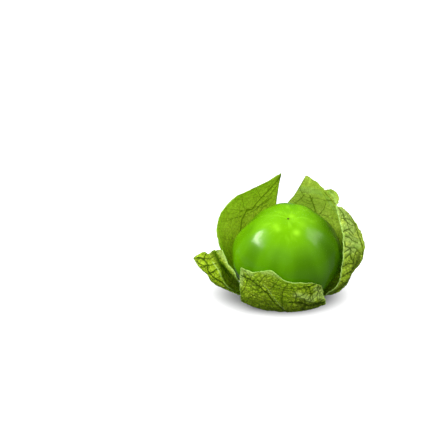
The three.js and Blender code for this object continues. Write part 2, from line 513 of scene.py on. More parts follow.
@dataclass(frozen=True)
class BerrySkin:
    """The berry's thin glossy skin: grass green, paler on the shoulders and deeper low down, partly by
    painted top light and shade; painted shade darkens its grooves and right side, painted light its
    left.

    Bands are heights from 0 at the stalk end to 1 at the blossom end, and a share is how much of
    a colour shows where it is strongest.
    """

    # From crown to belly the green darkens: partly the skin's own colour, partly painted top light and
    # painted shade low down.
    crown: Colour = linear(115, 182, 1)
    flank: Colour = linear(94, 156, 0)
    belly: Colour = linear(80, 136, 0)
    # Painted shade colours: for the grooves between the ribs, and for the right side.
    groove: Colour = linear(60, 108, 0)
    shaded_side: Colour = linear(44, 82, 0)
    fleck: Colour = linear(164, 230, 44)
    scar: Colour = linear(60, 62, 18)
    bands: tuple[float, ...] = (0.0, 0.52, 0.84, 0.98)
    patch_size: float = 14 * MM
    patch_drift: float = 0.22
    groove_shade_span: Span = (0.1, 0.8)
    groove_shade_share: float = 0.55
    shaded_side_span: Span = (4 * MM, 25 * MM)
    shaded_side_share: float = 0.7
    lit_side_span: Span = (14 * MM, 25 * MM)
    lit_side_share: float = 0.5
    streak_size: float = 2.2 * MM
    streak_round: float = 7 * MM
    streak_stretch: float = 0.35
    streak_span: Span = (0.45, 0.75)
    streak_end: Span = (9 * MM, 17 * MM)
    streak_share: float = 0.3
    scar_edge: Span = (0.35 * MM, 0.75 * MM)
    grain_size: float = 0.6 * MM
    grain_depth: float = 0.03 * MM
    grain_strength: float = 0.25
    roughness: float = 0.26
    roughness_drift: float = 0.1
    specular: float = 0.28
    specular_tint: Colour = (0.85, 1.0, 0.6, 1.0)
    gloss: float = 0.18
    gloss_drift: float = 0.1
    gloss_roughness: float = 0.17

    def material(self) -> bpy.types.Material:
        """Makes the skin, which follows the berry's own upright shape.

        Returns:
            The material.
        """
        plan = MaterialPlan("berry_skin")
        upright = plan.grown_vector("upright")
        x, y, z = plan.parts(upright)
        patchy = plan.noise(upright, self.patch_size) - 0.5
        # Painted top light and shade: the ramp pales towards the crown and deepens towards the belly.
        height = (z / BERRY_HALF_HEIGHT) * 0.5 + 0.5 + patchy * self.patch_drift
        tones = (self.belly, self.belly, self.flank, self.crown)
        colour = plan.ramp(height, list(zip(self.bands, tones)))
        # Painted shade: the grooves between the ribs are darkened.
        groove = plan.grown("groove").rise(*self.groove_shade_span) * self.groove_shade_share
        colour = plan.mixed(groove, colour, self.groove)
        # Painted shade: the right side (towards +X), which the husk shades, is darkened.
        colour = plan.mixed(x.rise(*self.shaded_side_span) * self.shaded_side_share, colour, self.shaded_side)
        # Painted light: the left side (towards -X), which faces the brighter lamps, is paled towards the
        # crown colour.
        lit_side = (0.0 - x).rise(*self.lit_side_span) * self.lit_side_share
        colour = plan.mixed(lit_side, colour, self.crown)
        reach = (x * x + y * y) ** 0.5
        turned_x, turned_y = (side / reach * self.streak_round for side in (x, y))
        spun = plan.joined(turned_x, turned_y, reach * self.streak_stretch)
        streaks = plan.noise(spun, self.streak_size).rise(*self.streak_span)
        streaks = streaks * (1 - reach.rise(*self.streak_end)) * self.streak_share
        pale = plan.grown("fleck").at_least(streaks) * z.above(0.0)
        colour = plan.mixed(pale, colour, self.fleck)
        scar = (1 - reach.rise(*self.scar_edge)) * z.above(0.0)
        colour = plan.mixed(scar, colour, self.scar)
        grain = plan.noise(upright, self.grain_size, FINE_DETAIL)
        feeds = {
            "Base Color": colour,
            "Roughness": self.roughness + (grain - 0.5) * self.roughness_drift,
            "Specular IOR Level": self.specular,
            "Specular Tint": self.specular_tint,
            "Coat Weight": self.gloss + patchy * self.gloss_drift,
            "Coat Roughness": self.gloss_roughness,
            "Normal": plan.bump(grain, self.grain_depth, self.grain_strength),
        }
        return plan.finish(feeds)


@dataclass(frozen=True)
class Swell:
    """A soft swelling of the berry, or a flat where its height is below 0.

    Its direction and its reach are in degrees. A fleck is one too, with a strength as its height.
    """

    turn: float
    rise: float
    reach: float
    height: float


@dataclass
class Berry:
    """The round berry: a squat ball with soft ribs, a flat or two and a dimple at each end."""

    width: float = 50 * MM
    height: float = 43.6 * MM
    lean: float = BERRY_LEAN
    centre_height: float = BERRY_CENTRE_HEIGHT
    rib_reach: float = math.radians(11)
    rib_height: float = 0.65 * MM
    ribs: tuple[float, ...] = (-161, -122, -94, -49, -14, 24, 61, 97, 128, 165)
    swells: tuple[Swell, ...] = (
        Swell(146, 31, 30, -2.2 * MM),
        Swell(34, 31, 26, -0.9 * MM),
        Swell(0, -8, 34, 0.9 * MM),
        Swell(180, -10, 30, 0.4 * MM),
    )
    flecks: tuple[Swell, ...] = (
        Swell(-143, 73, 4.0, 0.4),
        Swell(-126, 71, 3.2, 0.4),
        Swell(-68, 69, 3.8, 0.75),
        Swell(45, 85, 3.6, 0.5),
        Swell(-30, 74, 5.0, 0.25),
    )
    ribs_fade: Span = (0.72, 0.98)
    stalk_dimple: Span = (STALK_DIMPLE_DEPTH, 5 * MM)
    blossom_dimple: Span = (0.55 * MM, 3.4 * MM)
    lumps: float = 0.25 * MM
    lump_size: float = 0.62
    seed: float = 3.0
    fineness: int = 7
    skin: BerrySkin = field(default_factory=BerrySkin)

    @staticmethod
    def gap_round(x: Number, y: Number, turn: float) -> Number:
        """Returns how far round the berry a direction is from a turn in degrees, in radians."""
        share = x * math.cos(math.radians(turn)) + y * math.sin(math.radians(turn))
        return (2 - share * 2).at_least(0.0) ** 0.5

    @staticmethod
    def raised(plan: GrowthPlan, unit: object, swells: tuple[Swell, ...]) -> Number:
        """Adds up the heights of some swellings.

        Args:
            plan: the tree to add to.
            unit: the direction at which they are read, a vector of length 1.
            swells: the swellings.

        Returns:
            Their height together, in the unit that they are given in.
        """
        heights = []
        for swell in swells:
            turn, rise = math.radians(swell.turn), math.radians(swell.rise)
            middle = (math.cos(rise) * math.cos(turn), math.cos(rise) * math.sin(turn), math.sin(rise))
            made = plan.node("ShaderNodeVectorMath", {"operation": "DISTANCE"}, {0: unit, 1: middle})
            gap = plan.number(made.outputs["Value"])
            heights.append(gap.bell(math.radians(swell.reach)) * swell.height)
        return sum(heights[1:], heights[0])

    def plan(self) -> GrowthPlan:
        """Builds the tree that grows the berry from a plain ball of radius 1.

        Returns:
            The tree, whose sizes are its inputs.
        """
        plan = GrowthPlan("berry_growth")
        names = ("Width", "Height", "Rib reach", "Rib height", "Lumps", "Lean", "Centre height", "Seed")
        width, height, rib_reach, rib_height, lumps, lean, centre, seed = map(plan.size, names)
        stalk_depth, stalk_radius = plan.size("Stalk dimple depth"), plan.size("Stalk dimple radius")
        scar_depth, scar_radius = plan.size("Blossom dimple depth"), plan.size("Blossom dimple radius")
        skin = plan.given("Skin", "NodeSocketMaterial")

        settings = {"Radius": 1.0, "Subdivisions": self.fineness}
        plan.piece = plan.node("GeometryNodeMeshIcoSphere", {}, settings).outputs["Mesh"]
        unit = plan.node("GeometryNodeInputPosition").outputs[0]
        x, y, z = plan.parts(unit)
        reach = (x * x + y * y) ** 0.5
        moved = plan.shifted(unit, plan.joined(seed, seed * 0.7, seed * 0.3))
        crests = [self.gap_round(x / reach, y / reach, turn).bell(rib_reach) for turn in self.ribs]
        rib = sum(crests[1:], crests[0])
        fading = reach * reach * (1 - z.rise(*self.ribs_fade))
        raised = (rib - 0.5) * rib_height * fading + self.raised(plan, unit, self.swells)
        lump = (plan.noise(moved, self.lump_size, 1.0) - 0.5) * 2 * lumps
        swell = 1 + (raised + lump) / (width * 0.5)
        radius = reach * width * 0.5
        dent = radius.bell(stalk_radius) * stalk_depth * (1 - z.above(0.0))
        dent = dent - radius.bell(scar_radius) * scar_depth * z.above(0.0)
        half = width * 0.5 * swell
        upright = plan.joined(x * half, y * half, z * height * 0.5 * swell + dent)
        plan.store("upright", upright, "FLOAT_VECTOR")
        # How deep in a groove each point lies, for the painted shade in the grooves.
        plan.store("groove", (1 - rib).at_least(0.0) * fading)
        plan.store("fleck", self.raised(plan, unit, self.flecks))
        feeds = {"Vector": plan.read_vector("upright"), "Angle": lean}
        turned = plan.node("ShaderNodeVectorRotate", {"rotation_type": "X_AXIS"}, feeds)
        plan.move_to(plan.shifted(turned.outputs[0], plan.joined(0.0, 0.0, centre)))
        plan.close(skin)
        return plan

    def add_bake_map(self, mesh: bpy.types.Mesh) -> None:
        """Unwraps the skin on the six sides of a cube, laid out three by two.

        Args:
            mesh: the grown berry, whose upright places are stored on its points.
        """
        count = len(mesh.loops)
        upright = np.zeros(len(mesh.vertices) * 3)
        mesh.attributes["upright"].data.foreach_get("vector", upright)
        corner_vertex = np.zeros(count, int)
        mesh.loops.foreach_get("vertex_index", corner_vertex)
        spots = upright.reshape(-1, 3)[corner_vertex].reshape(-1, 3, 3)
        middle = spots.mean(1)
        axis = np.abs(middle).argmax(1)
        rows = np.arange(len(middle))
        side = axis * 2 + (middle[rows, axis] < 0)
        depth = np.abs(np.take_along_axis(spots, axis[:, None, None].repeat(3, 1), 2))[..., 0]
        others = np.array([(1, 2), (2, 0), (0, 1)])[axis]
        flat = np.take_along_axis(spots, others[:, None, :].repeat(3, 1), 2) / depth[..., None]
        tile = np.stack([side % 3, side // 3], 1)[:, None, :]
        half_tile = 0.42
        places = (tile + 0.5 + flat * half_tile) / np.array([3, 2])
        layer = mesh.uv_layers.new(name="OFBake")
        layer.data.foreach_set("uv", places.reshape(-1).astype(np.float32))

    def build(self) -> None:
        """Grows the berry and puts it in its place."""
        piece = new_object("berry_skin", bpy.data.meshes.new("berry_seed"))
        inputs = {
            "Width": self.width,
            "Height": self.height,
            "Rib reach": self.rib_reach,
            "Rib height": self.rib_height,
            "Lumps": self.lumps,
            "Lean": self.lean,
            "Centre height": self.centre_height,
            "Seed": self.seed,
            "Stalk dimple depth": self.stalk_dimple[0],
            "Stalk dimple radius": self.stalk_dimple[1],
            "Blossom dimple depth": self.blossom_dimple[0],
            "Blossom dimple radius": self.blossom_dimple[1],
            "Skin": self.skin.material(),
        }
        self.plan().grow(piece, inputs)
        self.add_bake_map(piece.data)
        settle(piece, "berry")


# ---------------------------------------------------------------------------------------------
# Husk


class Line(Enum):
    """What a line drawn on a sepal is."""

    RIB = "rib"
    TWIG = "twig"
    FOLD = "fold"
    RIDGE = "ridge"
    # Painted highlight: a thin pale line where a raised rib or a ridge catches the light.
    PALE = "pale"
    # Painted shade: a dark colour laid along the line, in channels, folds and under overhangs.
    SHADE = "shade"
    # Pale dry patches, and painted light on crests, corners and walls that face the lamps.
    BLUSH = "blush"


@dataclass(frozen=True)
class HuskPaper:
    """The husk's papery leaf: olive green, netted with darker veins, with pale torn rims, painted shade
    in its creases, channels and low down, and painted light on its lit crests, ridges and walls.

    A share is how much of a colour shows where it is strongest, and an edge is how far from a
    line its colour is full and how far it ends.
    """

    fresh: Colour = linear(210, 246, 44)
    deep: Colour = linear(176, 220, 18)
    inside: Colour = linear(214, 248, 26)
    dry: Colour = linear(234, 254, 110)
    # A dark olive, for random darker cells and for painted shade near the floor.
    foot: Colour = linear(112, 142, 6)
    vein: Colour = linear(44, 60, 0)
    # Painted shade in creases and in the cracks between puffed panels.
    crease_shade: Colour = linear(38, 52, 0)
    # Painted shade, laid along the drawn shade lines.
    shade: Colour = linear(40, 50, 0)
    rim: Colour = linear(218, 252, 144)
    glow: Colour = linear(206, 244, 14)
    through: float = 0.42
    drift_size: float = 9 * MM
    drift_span: Span = (0.35, 0.65)
    inside_share: float = 0.6
    drying_heights: Span = (8 * MM, 40 * MM)
    # Pale dry patches and painted light along the lines of that kind: the leaf is dried and paled there.
    dry_and_lit_dryness: float = 0.9
    dry_and_lit_span: Span = (0.3, 0.9)
    dry_and_lit_share: float = 0.58
    tone_from: float = 0.4
    tone_share: float = 0.4
    # Painted shade: the leaf darkens towards the floor.
    low_shade_heights: Span = (1 * MM, 14 * MM)
    low_shade_share: float = 0.75
    shade_share: float = 0.85
    dry_fading: float = 0.4
    stipple_size: float = 1.15 * MM
    stipple_wander: Span = (1.5 * MM, 0.3 * MM)
    stipple_wall: float = 0.16
    stipple_share: float = 0.42
    speckle_size: float = 0.55 * MM
    speckle_dark: Span = (0.36, 0.48)
    speckle_dark_share: float = 0.38
    speckle_pale: Span = (0.52, 0.66)
    speckle_pale_share: float = 0.45
    net_edge: Span = (0.02 * MM, 0.2 * MM)
    net_share: float = 0.6
    crease_shade_edge: Span = (0.1 * MM, 0.46 * MM)
    crease_shade_share: float = 0.85
    vein_edge: Span = (0.18 * MM, 0.48 * MM)
    vein_share: float = 0.95
    # Painted highlight along the drawn pale lines.
    pale_edge: Span = (0.1 * MM, 0.34 * MM)
    pale_share: float = 0.6
    rim_share: float = 0.95
    dark_rim_share: float = 0.7
    puff_reach: float = 0.7 * MM
    puff_relief: float = 1.2
    stipple_relief: float = 0.6
    speckle_relief: float = 0.4
    vein_swell: float = 0.45 * MM
    vein_relief: float = 0.8
    relief_depth: float = 0.26 * MM
    relief_strength: float = 0.85
    roughness: float = 0.56
    roughness_drift: float = 0.2
    specular: float = 0.15

    def tinted(self, plan: MaterialPlan) -> tuple[bpy.types.NodeSocket, Number]:
        """Mixes the leaf's colour before its lines.

        Args:
            plan: the material to add to.

        Returns:
            The colour, and how dry the leaf is, from 0 to 1.
        """
        drift = plan.noise(plan.place, self.drift_size, FINE_DETAIL)
        height = plan.parts(plan.place)[2]
        colour = plan.mixed(drift.rise(*self.drift_span), self.deep, self.fresh)
        inner = 1 - plan.grown("side").rise(-0.5, 0.5)
        colour = plan.mixed(inner * self.inside_share, colour, self.inside)
        dryness = plan.grown("dryness") * height.rise(*self.drying_heights) * (0.5 + drift)
        # Pale dry patches and painted light: along those lines the leaf is dried and paled towards the
        # rim colour.
        blush = plan.grown("blush")
        dryness = dryness.at_least(blush * self.dry_and_lit_dryness).at_most(1.0)
        colour = plan.mixed(dryness, colour, self.dry)
        colour = plan.mixed(blush.rise(*self.dry_and_lit_span) * self.dry_and_lit_share, colour, self.rim)
        cells = (plan.grown("tone") - self.tone_from).at_least(0.0)
        colour = plan.mixed(cells * self.tone_share, colour, self.foot)
        # Painted shade: darker towards the floor.
        low = 1 - height.rise(*self.low_shade_heights)
        colour = plan.mixed(low * self.low_shade_share, colour, self.foot)
        # Painted shade along the drawn shade lines.
        return plan.mixed(plan.grown("shade") * self.shade_share, colour, self.shade), dryness

    def material(self) -> bpy.types.Material:
        """Makes the paper, with its cells, veins, creases and rims.

        Returns:
            The material.
        """
        plan = MaterialPlan("husk_paper")
        colour, dryness = self.tinted(plan)
        bold = 1 - dryness * self.dry_fading
        stipple = plan.cell_edge(plan.wandering(plan.place, *self.stipple_wander), self.stipple_size)
        speckle = plan.noise(plan.place, self.speckle_size)
        gaps = {name: plan.grown(f"{name}_gap") for name in ("net", "crease", "vein", "pale")}
        walls = (1 - stipple.rise(0.0, self.stipple_wall)) * self.stipple_share * bold
        pale_specks = speckle.rise(*self.speckle_pale) * self.speckle_pale_share
        dark_specks = (1 - speckle.rise(*self.speckle_dark)) * self.speckle_dark_share * bold
        net = (1 - gaps["net"].rise(*self.net_edge)) * self.net_share * bold
        # Painted shade: creases and cracks are darkened.
        crease = (1 - gaps["crease"].rise(*self.crease_shade_edge)) * self.crease_shade_share
        vein = (1 - gaps["vein"].rise(*self.vein_edge)) * self.vein_share
        rim = plan.grown("rim_tone")
        # Painted highlight along the drawn pale lines, joined with the tone of the torn rims.
        pale = rim.at_least((1 - gaps["pale"].rise(*self.pale_edge)) * self.pale_share)
        layers = (
            (walls, self.vein),
            (pale_specks, self.dry),
            (dark_specks, self.vein),
            (net, self.vein),
            (crease, self.crease_shade),
            (vein, self.vein),
            (pale.at_least(0.0) * self.rim_share, self.rim),
            ((0.0 - rim).at_least(0.0) * self.dark_rim_share, self.vein),
        )
        for share, tint in layers:
            colour = plan.mixed(share, colour, tint)
        relief = gaps["net"].rise(0.0, self.puff_reach) * self.puff_relief
        relief = relief + stipple.rise(0.0, CELL_WALL) * self.stipple_relief
        relief = relief + speckle * self.speckle_relief
        relief = relief + (1 - gaps["vein"].rise(0.0, self.vein_swell)) * self.vein_relief
        feeds = {
            "Base Color": colour,
            "Roughness": self.roughness + speckle * self.roughness_drift,
            "Specular IOR Level": self.specular,
            "Normal": plan.bump(relief, self.relief_depth, self.relief_strength),
        }
        return plan.finish(feeds, (self.through, self.glow))


@dataclass(frozen=True)
class LeafGrowth:
    """The rule by which a smooth sepal gets its thickness, veins, creases and crumple."""

    seed_step: Point = (0.013, 0.007, 0.011)
    net_wander: Span = (4 * MM, 0.7 * MM)
    panel_wander: Span = (9 * MM, 1.3 * MM)
    panel_middle: float = 0.6
    net_middle: float = 0.5
    net_flat_share: float = 0.4
    crumple_size: float = 8 * MM
    crease_sharpness: float = 1.4
    rim_share: float = 0.45
    rim_reach: float = 0.5 * MM
    twig_width: float = 0.6
    twig_height: float = 0.55
    twig_thinness: float = 1.9
    crack_reach: float = 1.2
    flattest_bulge: float = 0.05
    foot_clearance: float = 5 * MM

    def plan(self) -> GrowthPlan:
        """Builds the tree.

        Returns:
            The tree, which every sepal shares with its own inputs.
        """
        plan = GrowthPlan("husk_growth")
        names = ("Thickness", "Net size", "Net depth", "Panel size", "Panel depth", "Crumple")
        thickness, net_size, net_depth, panel_size, panel_depth, crumple = map(plan.size, names)
        rib_width, rib_height = plan.size("Rib width"), plan.size("Rib height")
        fold_width, fold_depth = plan.size("Fold width"), plan.size("Fold depth")
        shade_width, dry_and_lit_width = plan.size("Shade width"), plan.size("Blush width")
        seed, dryness = plan.size("Seed"), plan.size("Dryness")
        drawn = {line: plan.given(line.value, "NodeSocketObject") for line in Line}
        paper = plan.given("Paper", "NodeSocketMaterial")

        place = plan.read_vector("sheet")
        side, ease, bulge, rim = map(plan.read, ("side", "ease", "bulge", "rim"))
        own = plan.shifted(place, plan.joined(*(seed * step for step in self.seed_step)))
        wandered = plan.wandering(own, *self.net_wander)
        net = plan.cell_edge(wandered, net_size)
        panel = plan.cell_edge(plan.wandering(own, *self.panel_wander), panel_size)
        gaps = {line: plan.distance_to(drawn[line], place) for line in Line}
        rib = gaps[Line.RIB].bell(rib_width)
        twig = gaps[Line.TWIG].bell(rib_width * self.twig_width)
        fold = (1 - gaps[Line.FOLD] / fold_width).at_least(0.0)
        ridge = (1 - gaps[Line.RIDGE] / fold_width).at_least(0.0)

        soft = (plan.noise(own, self.crumple_size) - 0.5) * 2 * crumple
        quilt = (panel.rise(0.0, CELL_WALL) - self.panel_middle) * panel_depth * bulge
        puffed = self.net_flat_share + (1 - self.net_flat_share) * bulge
        dapple = (net.rise(0.0, CELL_WALL) - self.net_middle) * net_depth * puffed
        crease = (ridge ** self.crease_sharpness - fold ** self.crease_sharpness) * fold_depth
        middle = (soft + quilt + dapple + crease) * ease
        taper = self.rim_share + (1 - self.rim_share) * rim.rise(0.0, self.rim_reach)
        lines = rib.at_least(twig * self.twig_height)
        skin = side * (thickness * 0.5 * taper + lines * rib_height * 0.5 * ease)
        outward = plan.scaled(plan.read_vector("outward"), middle + skin)
        x, y, z = plan.parts(plan.shifted(place, outward))
        plan.move_to(plan.joined(x, y, z.at_least(0.0)))

        puff = bulge.at_least(self.flattest_bulge).at_most(1.0)
        crack = panel * panel_size / puff * self.crack_reach
        traits = {
            "dryness": dryness,
            "vein_gap": gaps[Line.RIB].at_most(gaps[Line.TWIG] * self.twig_thinness),
            "net_gap": net * net_size,
            "tone": plan.cell_tone(wandered, net_size),
            "crease_gap": gaps[Line.FOLD].at_most(crack) + (1 - ease) * self.foot_clearance,
            "pale_gap": gaps[Line.PALE],
            # How strongly painted shade, and pale dryness with painted light, show at each point.
            "shade": gaps[Line.SHADE].bell(shade_width),
            "blush": gaps[Line.BLUSH].bell(dry_and_lit_width),
        }
        for name, value in traits.items():
            plan.store(name, value)
        plan.close(paper)
        return plan


def eased(share: np.ndarray) -> np.ndarray:
    """Returns the share, held between 0 and 1, with a smooth start and end."""
    held = np.clip(share, 0.0, 1.0)
    return held * held * (3 - 2 * held)


def blend_weights(share: np.ndarray, count: int) -> tuple[np.ndarray, np.ndarray, np.ndarray]:
    """Works out how a smooth curve through evenly numbered points blends them.

    Args:
        share: places along the curve, from 0 to 1.
        count: how many points the curve goes through.

    Returns:
        The number of the first of the four points in play, their weights, and the weights of the
        curve's slope. The points have one more before the first and one after the last.
    """
    place = np.clip(share, 0.0, 1.0) * (count - 1)
    first = np.minimum(np.floor(place).astype(int), count - 2)
    t = place - first
    weights = 0.5 * np.stack(
        [-t + 2 * t**2 - t**3, 2 - 5 * t**2 + 3 * t**3, t + 4 * t**2 - 3 * t**3, t**3 - t**2], -1
    )
    slopes = 0.5 * np.stack(
        [-1 + 4 * t - 3 * t**2, -10 * t + 9 * t**2, 1 + 8 * t - 9 * t**2, 3 * t**2 - 2 * t], -1
    )
    return first, weights, slopes * (count - 1)


def smooth_line(spots: np.ndarray, count: int) -> np.ndarray:
    """Follows the smooth curve through some spots.

    Args:
        spots: the spots, of shape (spots, 2).
        count: how many points to return.

    Returns:
        Points evenly spaced along the curve, with both ends.
    """
    first, weights, _ = blend_weights(np.linspace(0.0, 1.0, count), len(spots))
    padded = np.concatenate([2 * spots[:1] - spots[1:2], spots, 2 * spots[-1:] - spots[-2:-1]])
    return np.einsum("pk,pkc->pc", weights, padded[first[:, None] + np.arange(4)])


def straight_line(spots: np.ndarray, steps: int) -> np.ndarray:
    """Returns points along the straight stretches between the spots, each cut into steps."""
    fine = np.linspace(0, len(spots) - 1, steps * (len(spots) - 1) + 1)
    return np.stack([np.interp(fine, np.arange(len(spots)), spots[:, k]) for k in range(2)], -1)


class Sheet:
    """The smooth sheet through rows of points, read at shares across and along it."""

    def __init__(self, rows: np.ndarray) -> None:
        """Keeps the rows with one more point before and after them, both ways.

        Args:
            rows: points in metres, of shape (rows, points in a row, 3).
        """
        self.shape = rows.shape[:2]
        tall = np.concatenate([2 * rows[:1] - rows[1:2], rows, 2 * rows[-1:] - rows[-2:-1]])
        left, right = 2 * tall[:, :1] - tall[:, 1:2], 2 * tall[:, -1:] - tall[:, -2:-1]
        self.cage = np.concatenate([left, tall, right], 1)

    def read(self, across: np.ndarray, along: np.ndarray) -> tuple[np.ndarray, ...]:
        """Reads the sheet.

        Args:
            across: shares across it, in an array of any shape.
            along: shares along it, in an array of the same shape.

        Returns:
            The points, the slopes across, the slopes along, and the outward normals.
        """
        row, along_weights, along_slopes = blend_weights(along, self.shape[0])
        column, across_weights, across_slopes = blend_weights(across, self.shape[1])
        four = np.arange(4)
        knots = self.cage[row[..., None, None] + four[:, None], column[..., None, None] + four]
        blend = "...a,...b,...abc->...c"
        points = np.einsum(blend, along_weights, across_weights, knots)
        slope_across = np.einsum(blend, along_weights, across_slopes, knots)
        slope_along = np.einsum(blend, along_slopes, across_weights, knots)
        normals = np.cross(slope_across, slope_along)
        normals /= np.maximum(np.linalg.norm(normals, axis=-1, keepdims=True), 1e-12)
        return points, slope_across, slope_along, normals


@dataclass
class Sepal:
    """One torn lobe of the husk: a smooth sheet, its ragged rim, its veins and its creases.

    Sectors are in degrees round the stalk, and places on the sheet are shares across and along it.
    """

    name: str
    sector: tuple[float, float]
    foot_sector: tuple[float, float]
    foot_radius: float
    rows: list[list[Point]]
    midrib: Stroke
    marks: dict[Line, tuple[Stroke, ...]]
    side_veins: int = 5
    vein_rise: float = 0.1
    tear: float = 0.7
    corners: tuple[float, float] = (0.6, 0.6)
    bulge: float = 0.5
    bulges: tuple[tuple[float, float, float, float], ...] = ()
    panel_size: float = 6.0
    panel_depth: float = 0.9
    crumple: float = 0.45
    net_size: float = 2.3
    net_depth: float = 0.34
    fold_width: float = 1.5
    fold_depth: float = 0.7
    dryness: float = 0.2
    rims: tuple[float, float, float] = (0.6, 0.3, 0.6)
    # How far the painted shade lines reach, and how far the pale dry and painted light lines reach.
    shade_width: float = 2.0
    dry_and_lit_width: float = 1.6
    seed: int = 1
    rib_width: float = 0.32
    rib_height: float = 0.3
    rim_full: float = 0.15
    rim_ends: float = 0.75
    vein_starts: tuple[int, int, int] = (40, 8, 38)
    vein_reach: Span = (0.72, 0.95)
    vein_slope: Span = (0.7, 1.2)
    vein_sag: float = 0.25
    vein_drift: float = 0.008
    usual_size: Span = (28.0, 48.0)
    pressed_rows: float = 1.6
    foot_rows: float = 3.0
    steps: tuple[int, int] = (180, 200)

    def cage(self) -> np.ndarray:
        """Gathers the rows of points that the sheet goes through.

        The first three rows lie on circles round the stalk, flat on the surface under the berry.

        Returns:
            The rows, in metres.
        """
        count = len(self.rows[0])

        def fan(sector: tuple[float, float], radius: float, height: float) -> list[Point]:
            """Returns a row of points in this sector of a circle round the stalk."""
            turns = np.radians(np.linspace(*sector, count))
            return [(radius * math.cos(a), HUSK_CENTRE_Y + radius * math.sin(a), height) for a in turns]

        foot = [
            fan(self.sector, ROOT_RADIUS, ROOT_HEIGHT),
            fan(self.sector, FOOT_RADIUS, FOOT_HEIGHT),
            fan(self.foot_sector, self.foot_radius, FOOT_RIM_HEIGHT),
        ]
        return np.array(foot + self.rows, float) * MM

    def ease(self, along: np.ndarray) -> np.ndarray:
        """Returns 0 on the pressed foot and 1 where the sepal stands free."""
        last_row = len(self.rows) + 2
        return eased((along * last_row - self.pressed_rows) / (self.foot_rows - self.pressed_rows))

    def ragged(self, share: np.ndarray, strand: int) -> np.ndarray:
        """Works out how far a torn rim falls short of a clean cut.

        Args:
            share: places along the rim, from 0 to 1.
            strand: a number that makes each rim of a sepal differ.

        Returns:
            The shortfall in millimetres, from 0 to about the sepal's tear.
        """
        rng = np.random.default_rng(1000 * self.seed + strand)
        waves = np.array([5.0, 9.0, 15.0, 26.0, 41.0])
        heights = np.array([0.34, 0.26, 0.2, 0.13, 0.07])
        phases = rng.uniform(0, 2 * math.pi, len(waves))
        total = (heights * np.sin(np.multiply.outer(share, waves) + phases)).sum(-1)
        usual = 0.2
        return self.tear * np.clip(usual + total, 0.0, None)

    @staticmethod
    def rounding(along: np.ndarray, length: float, radius: float) -> np.ndarray:
        """Returns how far a side of this length draws in for a round corner at its free end."""
        into = np.clip(1 - (1 - along) * length / radius, 0.0, 1.0)
        return radius * (1 - np.sqrt(1 - into**2))

    def spread(self) -> tuple[np.ndarray, np.ndarray]:
        """Lays a grid over the sepal that follows its torn rims.

        Returns:
            The shares across and the shares along, each of the shape of the grid.
        """
        across_steps, along_steps = self.steps
        across, along = np.meshgrid(
            np.linspace(0, 1, across_steps + 1), np.linspace(0, 1, along_steps + 1), indexing="ij"
        )
        width, length = self.usual_size
        ease = self.ease(along)
        low = (self.ragged(along, 1) + self.rounding(along, length, self.corners[0])) / width * ease
        high = (self.ragged(along, 2) + self.rounding(along, length, self.corners[1])) / width * ease
        top = self.ragged(across, 3) / length
        return low + (1 - low - high) * across, along * (1 - top)

    def bulging(self, across: np.ndarray, along: np.ndarray) -> np.ndarray:
        """Works out how strongly the leaf puffs up between its creases.

        Args:
            across: shares across it.
            along: shares along it.

        Returns:
            The strength, from 0 up.
        """
        amount = np.full(across.shape, self.bulge)
        for spot_across, spot_along, reach, more in self.bulges:
            away = np.hypot(across - spot_across, along - spot_along) / reach
            amount += more * np.exp(-(away**2))
        return amount

    def sheet_mesh(self) -> bpy.types.Mesh:
        """Makes the closed two-sided mesh that the growth tree starts from.

        Returns:
            The mesh, with both faces still on the middle of the sheet.
        """
        across, along = self.spread()
        points, _, _, normals = Sheet(self.cage()).read(across, along)
        across_steps, along_steps = self.steps
        count = (across_steps + 1) * (along_steps + 1)
        number = np.arange(count).reshape(across_steps + 1, along_steps + 1)

        def quads(a: np.ndarray, b: np.ndarray, c: np.ndarray, d: np.ndarray) -> np.ndarray:
            """Returns faces with these four corners."""
            return np.stack([a, b, c, d], -1).reshape(-1, 4)

        outer = quads(number[:-1, :-1], number[1:, :-1], number[1:, 1:], number[:-1, 1:])
        under = number + count
        inner = quads(under[:-1, 1:], under[1:, 1:], under[1:, :-1], under[:-1, :-1])
        rims = [
            quads(number[0, :-1], number[0, 1:], under[0, 1:], under[0, :-1]),
            quads(number[-1, 1:], number[-1, :-1], under[-1, :-1], under[-1, 1:]),
            quads(number[1:, 0], number[:-1, 0], under[:-1, 0], under[1:, 0]),
            quads(number[:-1, -1], number[1:, -1], under[1:, -1], under[:-1, -1]),
        ]
        faces = np.concatenate([outer, inner, *rims])
        flat = points.reshape(-1, 3)
        mesh = bpy.data.meshes.new(self.name)
        mesh.from_pydata(np.concatenate([flat, flat]).tolist(), [], faces.tolist())
        self.add_traits(mesh, across, along, points, normals)
        self.add_bake_map(mesh, [len(outer), len(inner), *map(len, rims)])
        return mesh

